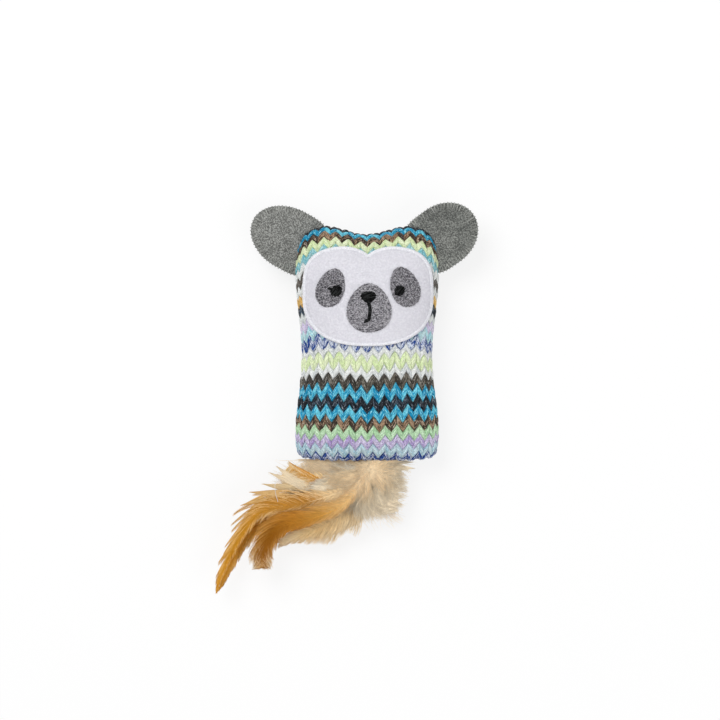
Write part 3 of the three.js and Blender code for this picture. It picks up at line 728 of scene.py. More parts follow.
def stuff(form, seam):
    """Cloth simulation: uneven stuffing presses the form outwards while the seam holds it."""
    start, before = form_points(form), heights_from_above(form)
    held = form.vertex_groups.new(name="seam")
    held.add([int(k) for k in seam], 1.0, "REPLACE")
    filled = form.vertex_groups.new(name="filled")
    x, y, z = (start / STUFFING_LUMP * 2 * np.pi).T
    waves = np.sin(x + 0.6 * y + z) + np.sin(0.8 * y - 0.5 * x + 1) + 0.5 * np.sin(1.9 * x + 1.3 * y + 2)
    lumps = 0.5 + 0.2 * waves
    for k, lump in enumerate(np.clip(lumps, 0.02, 1)):
        filled.add([k], float(lump), "REPLACE")
    cloth = form.modifiers.new("stuffing", "CLOTH")
    for key, value in CLOTH_SETTINGS.items():
        setattr(cloth.settings, key, value)
    cloth.settings.effector_weights.gravity = 0
    for frame_number in range(1, STUFFING_FRAMES + 1):
        bpy.context.scene.frame_set(frame_number)
    evaluated = form.evaluated_get(bpy.context.evaluated_depsgraph_get())
    moved = form_points(evaluated) - start
    form.modifiers.remove(cloth)
    bpy.context.scene.frame_set(1)
    distance = np.linalg.norm(moved, axis=1)
    limit = SWELL_LIMIT * ease((start[:, 2] - SWELL_STARTS_AT) / SWELL_FADE)
    kept = moved * (limit / (limit + distance + 1e-9))[:, None]
    for vertex, point in zip(form.data.vertices, start + kept):
        vertex.co = point * MM
    form.data.update()
    after = heights_from_above(form)
    swell[:] = np.where((before > SEAM_Z + 1) & (after > SEAM_Z + 1), after - before, 0)


def panel_from_form(name, form, numbers, turned):
    """One side of the form as an open panel with its knit coordinates and outward directions."""
    along, across = numbers.shape
    order = (numbers[:, ::-1] if turned else numbers).ravel()
    outward = np.array([vertex.normal for vertex in form.data.vertices])[order]
    panel = make_mesh(name, form_points(form)[order], grid_faces(across, along))
    set_attribute(panel.data, "outward", outward, "FLOAT_VECTOR")
    rows, columns = np.divmod(np.arange(along * across), across)
    u, v = columns / (across - 1), rows / (along - 1)
    weave = panel.data.uv_layers.new(name="weave")
    corners = np.array([loop.vertex_index for loop in panel.data.loops])
    weave.data.foreach_set("uv", np.stack([u[corners], v[corners]], -1).ravel())
    stripe = np.minimum(np.floor(v * len(STRIPES)), len(STRIPES) - 1) + 0.5
    set_attribute(panel.data, "stripe", stripe)
    # The knit's back side under the ribbons: a twist of 0.2 leans it to each stripe's second, darker tone,
    # partly its own colour and partly painted shade in the gaps between ribbons
    set_attribute(panel.data, "twist", np.full(len(stripe), 0.2))
    return panel


def make_body():
    form, front_numbers, back_numbers = body_form()
    stuff(form, np.intersect1d(front_numbers, back_numbers))
    tree, material = knit_tree(), raffia_material()
    stripe_height = sum(stripe[0] for stripe in STRIPES) / len(STRIPES)
    for name, node, numbers, turned, seed in (
        ("front_knit", "front_panel", front_numbers, False, 3),
        ("back_knit", "back_panel", back_numbers, True, 11),
    ):
        panel = panel_from_form(name, form, numbers, turned)
        grow(panel, tree, {"Slant": STITCH_SLANT / stripe_height, "Seed": seed, "Material": material})
        for vertex in panel.data.vertices:
            vertex.co.z = max(vertex.co.z, FLOOR_CLEARANCE * MM)
        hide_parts(node)
        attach(panel, "stuffed_body")
    bpy.data.objects.remove(form)


make_body()


# Threads and naps
def thread_tree():
    """Round threads along a mesh of guide lines, each point with its own girth."""
    tree, nodes, given = new_tree("threads", [
        ("Sides", "Int", 4),
        ("Girth", "Float", 1.0),
        ("Material", "Material", None),
    ])
    guides = nodes.add("GeometryNodeMeshToCurve", {"Mesh": given["Geometry"]}).outputs[0]
    circle = {"Resolution": given["Sides"], "Radius": 1.0}
    ring = nodes.add("GeometryNodeCurvePrimitiveCircle", circle).outputs[0]
    ring = store(nodes, ring, "around", nodes.add("GeometryNodeSplineParameter").outputs["Factor"])
    tubes = nodes.add("GeometryNodeCurveToMesh", {
        "Curve": guides,
        "Profile Curve": ring,
        "Scale": nodes.maths("MULTIPLY", named(nodes, "girth"), given["Girth"]),
        "Fill Caps": True,
    }).outputs[0]
    smooth = nodes.add("GeometryNodeSetShadeSmooth", {"Geometry": tubes}).outputs[0]
    end_tree(nodes, smooth, given["Material"])
    return tree


# No fibres grow where a surface leans further over than this share of its normal's height
NAP_TURNS_UNDER = -0.3


def nap_tree():
    """Short fibres on the upper side of a surface, or the lower one for -1, each leaning its own way."""
    tree, nodes, given = new_tree("nap", [
        ("Side", "Float", 1.0),
        ("Density", "Float", 8e6),
        ("Length", "Float", 0.8 * MM),
        ("Girth", "Float", 0.06 * MM),
        ("Lean", "Float", 0.6),
        ("Seed", "Int", 1),
        ("Material", "Material", None),
    ])
    normal = nodes.parts(nodes.add("GeometryNodeInputNormal").outputs[0])
    facing = nodes.maths("MULTIPLY", normal["Z"], given["Side"])
    spots = nodes.add("GeometryNodeDistributePointsOnFaces", {
        "Mesh": given["Geometry"],
        "Selection": nodes.maths("GREATER_THAN", facing, NAP_TURNS_UNDER),
        "Density": given["Density"],
        "Seed": given["Seed"],
    })
    fibre = nodes.add("GeometryNodeMeshCone", {
        "Vertices": 3,
        "Radius Top": 0.15,
        "Radius Bottom": 1.0,
        "Depth": 1.0,
    }, fill_type="NONE").outputs[0]
    back = nodes.maths("MULTIPLY", given["Lean"], -1)
    lean = nodes.vector(
        X=random_value(nodes, back, given["Lean"], given["Seed"]),
        Y=random_value(nodes, back, given["Lean"], nodes.maths("ADD", given["Seed"], 1)),
        Z=random_value(nodes, 0.0, 6.28, nodes.maths("ADD", given["Seed"], 2)),
    )
    turn = nodes.add("FunctionNodeRotateRotation", {
        "Rotation": spots.outputs["Rotation"],
        "Rotate By": nodes.add("FunctionNodeEulerToRotation", {"Euler": lean}).outputs[0],
    }, rotation_space="LOCAL").outputs[0]
    share = random_value(nodes, 0.55, 1.0, nodes.maths("ADD", given["Seed"], 3))
    length = nodes.maths("MULTIPLY", given["Length"], share)
    size = nodes.vector(X=given["Girth"], Y=given["Girth"], Z=length)
    fibres = nodes.add("GeometryNodeInstanceOnPoints", {
        "Points": spots.outputs["Points"],
        "Instance": fibre,
        "Rotation": turn,
        "Scale": size,
    }).outputs[0]
    tone = random_value(nodes, 0.0, 1.0, nodes.maths("ADD", given["Seed"], 4))
    end_tree(nodes, store(nodes, fibres, "seed", tone, domain="INSTANCE"), given["Material"])
    return tree


THREADS = thread_tree()
NAP = nap_tree()


def make_threads(name, lines, girth, material, sides=4, attributes=None):
    """Threads along an array of lines (thread, point, 3) in millimetres."""
    lines = np.asarray(lines, float)
    count, steps = lines.shape[:2]
    first = np.arange(count)[:, None] * steps + np.arange(steps - 1)
    edges = np.stack([first, first + 1], -1).reshape(-1, 2).tolist()
    source = make_mesh(name, lines.reshape(-1, 3), edges=edges)
    values = {
        "girth": np.asarray(girth, float) * MM,
        "along": np.linspace(0, 1, steps),
        "seed": rng.random((count, 1)),
        **(attributes or {}),
    }
    for key, value in values.items():
        set_attribute(source.data, key, np.broadcast_to(value, (count, steps)))
    return grow(source, THREADS, {"Sides": sides, "Material": material})


def make_nap(name, surface, side, density, length, girth, lean, seed, material):
    """Fibres over one side of a piece, as a piece of their own. Density is fibres a square millimetre."""
    return grow(new_object(name, surface.data.copy()), NAP, {
        "Side": float(side),
        "Density": density * 1e6,
        "Length": length * MM,
        "Girth": girth * MM,
        "Lean": lean,
        "Seed": seed,
        "Material": material,
    })


def join(name, pieces):
    with bpy.context.temp_override(active_object=pieces[0], selected_editable_objects=pieces):
        bpy.ops.object.join()
    pieces[0].name = name
    return pieces[0]


def finish_piece(piece, body, slot, *nodes):
    if nodes:
        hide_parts(*nodes)
    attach(piece, body)
    return piece


def smooth_line(points, places):
    """Points at places from 0 to 1 along a smooth line through the given points."""
    points = np.asarray(points, float)
    reached = np.concatenate([[2 * points[0] - points[1]], points, [2 * points[-1] - points[-2]]])
    position = np.clip(places, 0, 1) * (len(points) - 1)
    whole = np.minimum(position.astype(int), len(points) - 2)
    t = (position - whole)[:, None]
    a, b, c, d = (reached[whole + k] for k in range(4))
    return 0.5 * (2 * b + (c - a) * t + (2 * a - 5 * b + 4 * c - d) * t**2 + (3 * b - a - 3 * c + d) * t**3)


HEADING_STEP = 0.2


def even_points(points, pitch, closed=False):
    """Points a pitch apart along a line in the plane, and the line's heading at each."""
    if closed:
        points = np.concatenate([points, points[:1]])
    length = lengths_along(points)
    count = max(2, round(length[-1] / pitch))
    places = np.linspace(0, length[-1], count, endpoint=not closed)
    behind, at, ahead = (at_lengths(np.clip(places + step, 0, length[-1]), length, points)
                         for step in (-HEADING_STEP, 0, HEADING_STEP))
    heading = ahead - behind
    return at, heading / np.linalg.norm(heading, axis=1, keepdims=True)


def blanket(name, middle, outline, top, bottom, rings):
    """A closed solid inside an outline, between heights that go by x, y and the share of the way outwards."""
    middle, outline = np.asarray(middle, float), np.asarray(outline, float)
    spokes = len(outline)
    share = np.sin(np.linspace(0, 1, rings + 1)[1:] * np.pi / 2)
    flat = middle + share[:, None, None] * (outline - middle)
    points, faces = [], []
    for sheet, height in enumerate((top, bottom)):
        first = sheet * (1 + rings * spokes)
        centre = height(middle[0], middle[1], 0.0)
        points.append([[*middle, float(centre)]])
        lifted = height(flat[..., 0], flat[..., 1], np.broadcast_to(share[:, None], flat.shape[:2]))
        points.append(np.dstack([flat, lifted]).reshape(-1, 3))
        fan = [(first, first + 1 + i, first + 1 + (i + 1) % spokes) for i in range(spokes)]
        quads = [tuple(first + 1 + k for k in face) for face in grid_faces(spokes, rings, closed=True)]
        side = fan + [(a, d, c, b) for a, b, c, d in quads]
        faces += side if sheet == 0 else [face[::-1] for face in side]
    top_rim = 1 + (rings - 1) * spokes
    bottom_rim = top_rim + 1 + rings * spokes
    for i in range(spokes):
        k = (i + 1) % spokes
        faces.append((top_rim + i, bottom_rim + i, bottom_rim + k, top_rim + k))
    return make_mesh(name, np.concatenate(points), faces)


# Shared shader effects
def speckle_group():
    """Fine flecks of two tones over a piece, such as the mixed fibres of felt."""
    group, nodes, given = new_group("fibre_flecks", "ShaderNodeTree", [
        ("Scale", "Float", 1500.0),
        ("Patch Scale", "Float", 150.0),
        ("Patch Share", "Float", 0.3),
    ], [("Fleck", "Float")])
    place = nodes.add("ShaderNodeTexCoord").outputs["Object"]
    fine = nodes.noise("4D", Vector=place, Scale=given["Scale"], Detail=2.0, W=0.0)
    wide = nodes.noise(Vector=place, Scale=given["Patch Scale"], Detail=2.0)
    share = nodes.smooth_range(fine, 0.34, 0.66)
    patch = nodes.maths("MULTIPLY", nodes.maths("SUBTRACT", wide, 0.5), given["Patch Share"])
    nodes.add("NodeGroupOutput", {"Fleck": nodes.maths("ADD", share, patch, clamp=True)})
    return group


FLECKS = speckle_group()


def fibre_material(name):
    """Felt, plush or fibre fill: flecks of a dark and a light tone, and each fibre a little different."""
    dark, light, scale, patch_scale, patch_share = FIBRES[name]
    material, nodes, shader = new_material(name)
    inputs = {"Scale": scale, "Patch Scale": patch_scale, "Patch Share": patch_share}
    fleck = nodes.add("ShaderNodeGroup", inputs, node_tree=FLECKS).outputs["Fleck"]
    own = nodes.maths("SUBTRACT", nodes.attribute("seed"), 0.5)
    own = nodes.maths("MULTIPLY_ADD", own, 0.5, fleck, clamp=True)
    nodes.feed(shader, {
        "Base Color": nodes.mix_colour(own, linear(dark), linear(light)),
        "Normal": nodes.bump(fleck, 0.6, 0.0002),
        "Roughness": 0.95,
        "Specular IOR Level": 0.14,
        "Sheen Weight": 0.2,
    })
    return material


THREAD_TWIST = 2.5
UNMARLED = {"seed": 0.5, "along": 0.5, "around": 0.5}


def thread_material(name, marl=3.0, roughness=0.6, specular=0.25, sheen=0.1):
    """Spun thread in three tones from dark to light, marled along its length and with a slight twist."""
    material, nodes, shader = new_material(name)
    along = nodes.attribute("along")
    offset = nodes.maths("MULTIPLY", nodes.attribute("seed"), 90)
    place = nodes.vector(X=nodes.maths("MULTIPLY", along, marl), Y=offset)
    marled = nodes.noise("2D", Vector=place, Scale=1.0, Detail=1.0)
    stops = [(position, linear(tone)) for position, tone in zip((0.3, 0.5, 0.68), THREAD_TONES[name])]
    ply = nodes.maths("MULTIPLY_ADD", along, marl * THREAD_TWIST, nodes.attribute("around"))
    ridge = nodes.maths("SINE", nodes.maths("MULTIPLY", ply, 2 * math.pi))
    nodes.feed(shader, {
        "Base Color": nodes.ramp(marled, stops).outputs[0],
        "Normal": nodes.bump(ridge, 0.25, 0.0001),
        "Roughness": roughness,
        "Specular IOR Level": specular,
        "Sheen Weight": sheen,
    })
    return material


# Plush face and its embroidery
FACE_WIDTH = 70.4
FACE_HEIGHT = 53.8
FACE_CENTRE = (0.5, 25.0)
FACE_TOP_POWER = 3.6
FACE_CHIN_POWER = 2.4
FACE_NOTCH_SHARE = 0.18
FACE_NOTCH_ANGLE = 0.54
FACE_NOTCH_POWER = 2.1
BORDER_WIDTH = 2.0
PLUSH_LIFT = 1.45
EMBROIDERY_LIFT = 1.75
TOP_STITCH_LIFT = 2.45
# An eye is x, y, width, height and tilt, and a pupil the first four. The muzzle and the nose end with a taper.
# The mouth's heights count from the foot of the nose, and the lash's points from the middle of its pupil.
EYES = {"left": (-19.4, 29.4, 14.2, 20.6, -0.33), "right": (20.1, 29.8, 14.7, 21.3, 0.33)}
PUPILS = {"left": (-16.4, 27.6, 5.5, 5.1), "right": (17.3, 27.75, 5.0, 4.9)}
EYE_TAPER = 0.14
MUZZLE = (1.0, 18.5, 22.9, 25.5, 0.17)
NOSE = (0.7, 24.3, 7.5, 6.0, -0.3)
MOUTH = [(0.7, 0.4), (1.5, -3.2), (1.2, -7.2), (0.5, -9.2), (-1.4, -9.9)]
LASH = [(-1.5, 0.6), (-4.3, 1.5)]
BORDER_GIRTH = 0.19
FILL_GIRTH = 0.235
SATIN_GIRTH = 0.22
SATIN_PITCH = 0.3
STITCH_POINTS = 6
PLUSH_BACK_LIFT = 0.35
PLUSH_RIM_LIFT = 0.4
RIM_STARTS_AT = 0.93
RIM_SPAN = 0.07
PLUSH_NAP = {"density": 9.0, "length": 0.75, "girth": 0.07, "lean": 0.7}


def face_outline(inset, count=240):
    angle = np.linspace(0, 2 * np.pi, count, endpoint=False)
    power = np.where(np.sin(angle) > 0, FACE_TOP_POWER, FACE_CHIN_POWER)
    across = np.abs(2 * np.cos(angle) / FACE_WIDTH) ** power
    along = np.abs(2 * np.sin(angle) / FACE_HEIGHT) ** power
    from_notch = np.abs(angle - np.pi / 2) / FACE_NOTCH_ANGLE
    notch = FACE_NOTCH_SHARE * np.maximum(0, 1 - from_notch) ** FACE_NOTCH_POWER
    reach = (across + along) ** (-1 / power) * (1 - notch) - inset
    return polar(angle, reach, FACE_CENTRE)


def egg_outline(x, y, width, height, taper=0.0, tilt=0.0, count=64):
    """An egg, narrower at the top by its taper and leaning by its tilt."""
    angle = np.linspace(0, 2 * np.pi, count, endpoint=False)
    across = width / 2 * np.cos(angle) * (1 - taper * np.sin(angle))
    along = height / 2 * np.sin(angle)
    cos, sin = math.cos(tilt), math.sin(tilt)
    return np.stack([x + (across * cos - along * sin), y + (across * sin + along * cos)], -1)


SHORTEST_STITCH = 0.3


def fill_stitches(outline, lean, pitch, length, arch, lift=TOP_STITCH_LIFT, ragged=0.45):
    """Lines of stitches in rows across an outline. Each row starts at another place along its stitch."""
    cos, sin = math.cos(lean), math.sin(lean)
    turned = outline @ np.array([[cos, -sin], [sin, cos]])
    following = np.roll(turned, -1, axis=0)
    lines = []
    for row in np.arange(turned[:, 1].min() + pitch / 2, turned[:, 1].max(), pitch):
        crosses = (turned[:, 1] > row) != (following[:, 1] > row)
        start, end = turned[crosses], following[crosses]
        hits = start[:, 0] + (row - start[:, 1]) / (end[:, 1] - start[:, 1]) * (end[:, 0] - start[:, 0])
        low, high = hits.min() - ragged * rng.random(), hits.max() + ragged * rng.random()
        cuts = np.arange(low - rng.random() * length, high, length)
        cuts = cuts[(cuts > low + SHORTEST_STITCH * length) & (cuts < high - SHORTEST_STITCH * length)]
        cuts = np.concatenate([[low], cuts, [high]])
        for first, last in zip(cuts[:-1], cuts[1:]):
            t = np.linspace(0, 1, STITCH_POINTS)
            u = first - 0.1 + (last - first + 0.2) * t
            v = row + (rng.random() - 0.5) * 0.35 * pitch + (rng.random() - 0.5) * 0.6 * pitch * (t - 0.5)
            x, y = cos * u - sin * v, sin * u + cos * v
            rise = lift + arch * (np.sin(np.pi * t) ** 0.6 - 0.35) * (0.8 + 0.4 * rng.random())
            lines.append(np.stack([x, y, front_height(x, y) + rise], -1))
    return lines


def satin_band(points, width, slant, arch, lift=TOP_STITCH_LIFT, closed=False):
    """Lines of stitches that lie side by side across a band along a line."""
    middle, heading = even_points(np.asarray(points, float), SATIN_PITCH, closed)
    side = left_of(heading)
    t = np.linspace(-1, 1, STITCH_POINTS)[None, :, None]
    half = width / 2 * (1 + 0.08 * (rng.random((len(middle), 1, 1)) - 0.5))
    flat = middle[:, None] + t * half * side[:, None] + t * slant * heading[:, None]
    rise = lift + arch * (np.sqrt(np.maximum(0, 1 - t[..., 0] ** 2)) - 0.4)
    return np.dstack([flat, front_height(flat[..., 0], flat[..., 1]) + rise])


def embroider(name, lines, girth, thread, slot, node):
    stitches = make_threads(f"{name}_stitches", lines, girth, thread)
    finish_piece(stitches, "stuffed_body", slot, node)


def make_plush():
    plush = fibre_material("white_plush")

    def plush_top(x, y, share):
        rolled = 1 - np.clip((share - RIM_STARTS_AT) / RIM_SPAN, 0, 1) ** 2
        return front_height(x, y) + PLUSH_RIM_LIFT + (PLUSH_LIFT - PLUSH_RIM_LIFT) * np.sqrt(rolled)

    def plush_bottom(x, y, share):
        return front_height(x, y) + PLUSH_BACK_LIFT

    outline = face_outline(BORDER_WIDTH * 0.6)
    sheet = blanket("face_plush", FACE_CENTRE, outline, plush_top, plush_bottom, 44)
    sheet.data.materials.append(plush)
    nap = make_nap("face_nap", sheet, 1, seed=5, material=plush, **PLUSH_NAP)
    finish_piece(sheet, "stuffed_body", "white_plush", "face_patch")
    finish_piece(nap, "stuffed_body", "white_plush")


def make_embroidery():
    white = thread_material("white_satin_thread")
    light_grey = thread_material("grey_marled_thread", marl=3.1)
    grey = thread_material("dark_grey_marled_thread", marl=3.4)
    black = thread_material("black_satin_thread_painted_highlights", marl=1.6, roughness=0.34, specular=0.06, sheen=0.0)

    outline = face_outline(BORDER_WIDTH / 2)
    edge = satin_band(outline, width=1.75, slant=0.25, lift=1.35, arch=0.6, closed=True)
    embroider("face_border", edge, BORDER_GIRTH, white, "white_border_thread", "face_patch_border")

    patches = [(f"{name}_eye_patch", egg_outline(*place, EYE_TAPER, tilt), lean, grey)
               for (name, (*place, tilt)), lean in zip(EYES.items(), (0.12, -0.12))]
    for name, outline, lean, thread in (*patches, ("muzzle_patch", egg_outline(*MUZZLE), 0.06, light_grey)):
        low = fill_stitches(outline, lean + 1.3, pitch=0.5, length=3.2, lift=EMBROIDERY_LIFT - 0.1, arch=0.2)
        high = fill_stitches(outline, lean, pitch=0.4, length=2.6, lift=EMBROIDERY_LIFT + 0.3, arch=0.3)
        embroider(name, low + high, FILL_GIRTH, thread, "grey_embroidery", name)

    for name, place in PUPILS.items():
        lines = fill_stitches(egg_outline(*place), 0.9, pitch=0.36, length=9, arch=0.6, ragged=0.8)
        if name == "left":
            path = [(place[0] + x, place[1] + y) for x, y in LASH]
            lines = lines + list(satin_band(path, width=1.1, slant=0.3, arch=0.3))
        embroider(f"{name}_pupil", lines, SATIN_GIRTH, black, "black_embroidery", f"{name}_pupil")
    lines = fill_stitches(egg_outline(*NOSE), 0.25, pitch=0.33, length=9.5, arch=0.5, ragged=0.4)
    embroider("nose", lines, SATIN_GIRTH, black, "black_embroidery", "nose")
    top = NOSE[1] - NOSE[3] / 2
    path = smooth_line([(x, top + y) for x, y in MOUTH], np.linspace(0, 1, 40))
    lines = satin_band(path, width=1.7, slant=0.55, arch=0.5)
    embroider("mouth", lines, SATIN_GIRTH, black, "black_embroidery", "mouth_line")


make_plush()
make_embroidery()


# Felt ears: two layers of felt each, sewn together round the free edge and into the seam at the root
EAR_WIDTH = 33.0
EAR_BASE = (30.8, 50.0)
EAR_ANGLE = 0.56
EAR_SHOULDER = 12.0
EAR_TUCK = 5.0
EAR_ROOT_POWER = 4
EAR_HINGE = (37.401, 54.139)
EAR_SEAM_INSET = 1.5
FELT_THICKNESS = 1.5
FELT_GAP = 0.3
FELT_ROOT_THICKNESS = 0.45
FELT_THICKENS_OVER = 8
FELT_FUZZ = {"density": 7.0, "length": 0.55, "girth": 0.05, "lean": 1.25}
# Each ear: its side, its height, its bowl's depth, its rim's height, its turn and how far up its middle moves
EARS = {
    "left": (-1, 34.8, 1.0, -2.5, -0.05, 0.0),
    "right": (1, 32.2, 4.8, 4.0, 0.06, 0.6),
}
OVERCAST_PITCH = 1.85
OVERCAST_DEPTH = 3.3
OVERCAST_GIRTH = 0.25


def ear_outline(middle, direction, height, count=160):
    """The ear's edge round its middle, cut where it enters the seam, and which of its points are cut."""
    angle = np.linspace(0, 2 * np.pi, count, endpoint=False)
    along = np.cos(angle - direction)
    across = np.sin(angle - direction) / (EAR_WIDTH / 2)
    free = 1 / np.hypot(along / (height - EAR_SHOULDER), across)
    root = (np.abs(along / (EAR_SHOULDER + EAR_TUCK)) ** EAR_ROOT_POWER + np.abs(across) ** EAR_ROOT_POWER)
    reach = np.where(along > 0, free, root ** (-1 / EAR_ROOT_POWER))
    seam_angle = np.linspace(-np.pi, np.pi, 721)
    seam = np.linalg.norm(body_outline(seam_angle), axis=1) - EAR_SEAM_INSET
    steps = np.linspace(0, 1, 240)[None] * reach[:, None]
    x = middle[0] + steps * np.cos(angle)[:, None]
    y = middle[1] + steps * np.sin(angle)[:, None]
    inside = np.hypot(x, y) < np.interp(np.arctan2(y, x), seam_angle, seam)
    rooted = inside.any(axis=1)
    first = np.where(rooted, inside.argmax(axis=1), steps.shape[1] - 1)
    cut = np.take_along_axis(steps, first[:, None], 1)[:, 0]
    return polar(angle, cut, middle), rooted


def make_ear(name, felt, thread):
    side, height, bowl, rim, turn, rise = EARS[name]
    outward = np.array([side * math.cos(EAR_ANGLE), math.sin(EAR_ANGLE)])
    base = np.array([side * EAR_BASE[0], EAR_BASE[1]])
    hinge = np.array([side * EAR_HINGE[0], EAR_HINGE[1]])
    lean = EAR_ANGLE + turn
    way = np.array([side * math.cos(lean), math.sin(lean)])
    middle = base + EAR_SHOULDER * way + [0, rise]
    outline, rooted = ear_outline(middle, math.atan2(way[1], way[0]), height)

    def from_hinge(x, y):
        return (x - hinge[0]) * outward[0] + (y - hinge[1]) * outward[1]

    def middle_height(x, y, share):
        away = ease(from_hinge(x, y) / EAR_SHOULDER)
        return SEAM_Z + away * (rim * share**2 - bowl * (1 - share**2))

    def thickness(x, y, share):
        thicker = ease(from_hinge(x, y) / FELT_THICKENS_OVER)
        full = FELT_ROOT_THICKNESS + (FELT_THICKNESS - FELT_ROOT_THICKNESS) * thicker
        in_rim = np.clip((share - RIM_STARTS_AT) / RIM_SPAN, 0, 1)
        return FELT_GAP / 2 + full * np.sqrt(1 - 0.55 * in_rim ** 2)

    for layer, up in (("front", 1), ("back", -1)):
        def far(x, y, share):
            return middle_height(x, y, share) + up * thickness(x, y, share)

        def near(x, y, share):
            return middle_height(x, y, share) + up * FELT_GAP / 2

        top, bottom = (far, near) if up > 0 else (near, far)
        sheet = blanket(f"{name}_ear_{layer}", middle, outline, top, bottom, 30)
        sheet.data.materials.append(felt)
        seed = 21 + side + 5 * up
        fuzz = make_nap(f"{name}_ear_{layer}_fuzz", sheet, up, seed=seed, material=felt, **FELT_FUZZ)
        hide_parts(f"{name}_ear_{layer}_felt")
        for piece in (sheet, fuzz):
            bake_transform(piece)

    split = -np.argmax(rooted)
    free = np.roll(outline, split, axis=0)[~np.roll(rooted, split)]
    rim_points, heading = even_points(free, OVERCAST_PITCH)
    inward = left_of(heading)
    lines = []
    for point, turn, ahead in zip(rim_points[1:-1], inward[1:-1], heading[1:-1]):
        lean = 0.35 * (rng.random() - 0.5)
        depth = OVERCAST_DEPTH * (0.85 + 0.3 * rng.random())
        over = [(depth, 1, -0.05), (0.6 * depth, 1, 0.34), (0.15, 1, 0.36), (-0.3, 0.5, 0.15)]
        under = [(inset, -level, proud) for inset, level, proud in reversed(over)]
        line = []
        for inset, level, proud in [*over, (-0.42, 0, 0), *under]:
            x, y = point + inset * turn + lean * abs(inset) * ahead
            share = 1 - max(inset, 0) / np.linalg.norm(point - middle)
            half = thickness(x, y, min(share, 1.0)) + proud
            line.append((x, y, middle_height(x, y, share) + level * half))
        lines.append(line)
    stitches = make_threads(f"{name}_ear_overcast", lines, OVERCAST_GIRTH, thread)
    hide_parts(f"{name}_ear_edge_stitch")
    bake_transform(stitches)


overcast_thread = thread_material("grey_overcast_thread")
# Each ear gets its own copy of the felt; the right one's darker tones are painted shade
for ear_name in EARS:
    make_ear(ear_name, fibre_material(f"{ear_name}_grey_felt"), overcast_thread)


# Feather tail. A shaft's points are shares of its reach from the binding, and both vanes' widths are
# shares of its vane, as in the CAD. Each colour stop is a share of the way along the shaft, and centre_reach
# says how far across the vane the centre's colours turn into the edge's. A barb sweeps forwards by its lean
# times the vane's width, and its end closes up by its clump with the others of a bunch, which is a length of
# shaft. Fray is the unevenness at the feather's end. A row of fluff is two angles, two reaches, how many
# barbs and their colour's place. A row of tufts is a foot, a tip, half a width, how many barbs, and their
# colour's place along and across.
BINDING = (2.0, -68.0)
BINDING_RADIUS = 3.2
BALL_CLEARANCE = 0.25
QUILL_SPACING = 0.72
FEATHER_SPACING = 1.15
LAYERS_PART_BY = 12.0
DROOP_START = 45.0
DROOP_LENGTH = 105.0
DROOP_DEPTH = 9.0
BODY_CLEARANCE = 5.3
BARB_STEPS = np.linspace(0, 1, 10)[None]
BARB_TAPER = 1 - 0.8 * BARB_STEPS**2
BARB_SPACING = 0.3
BARB_GIRTH = 0.17
DOWN_BUNCH = 7.0
DOWN_CLUMP = 0.45
DOWN_GIRTH = 0.15
TUFT_GIRTH = 0.16
LINE_STEPS = 500
SHAFT_STEPS = 60
SHAFT_GIRTH = 0.34
WEB_STEPS = (90, 7)
WEB_THICKNESS = 0.07
VANES = {"lower": 1, "upper": -1}
CREAM, PALE_TAN, TAN = (243, 222, 188), (238, 208, 160), (230, 188, 124)
GINGER, DEEP_GOLD, DARK_BROWN = (206, 142, 42), (218, 152, 44), (150, 92, 14)
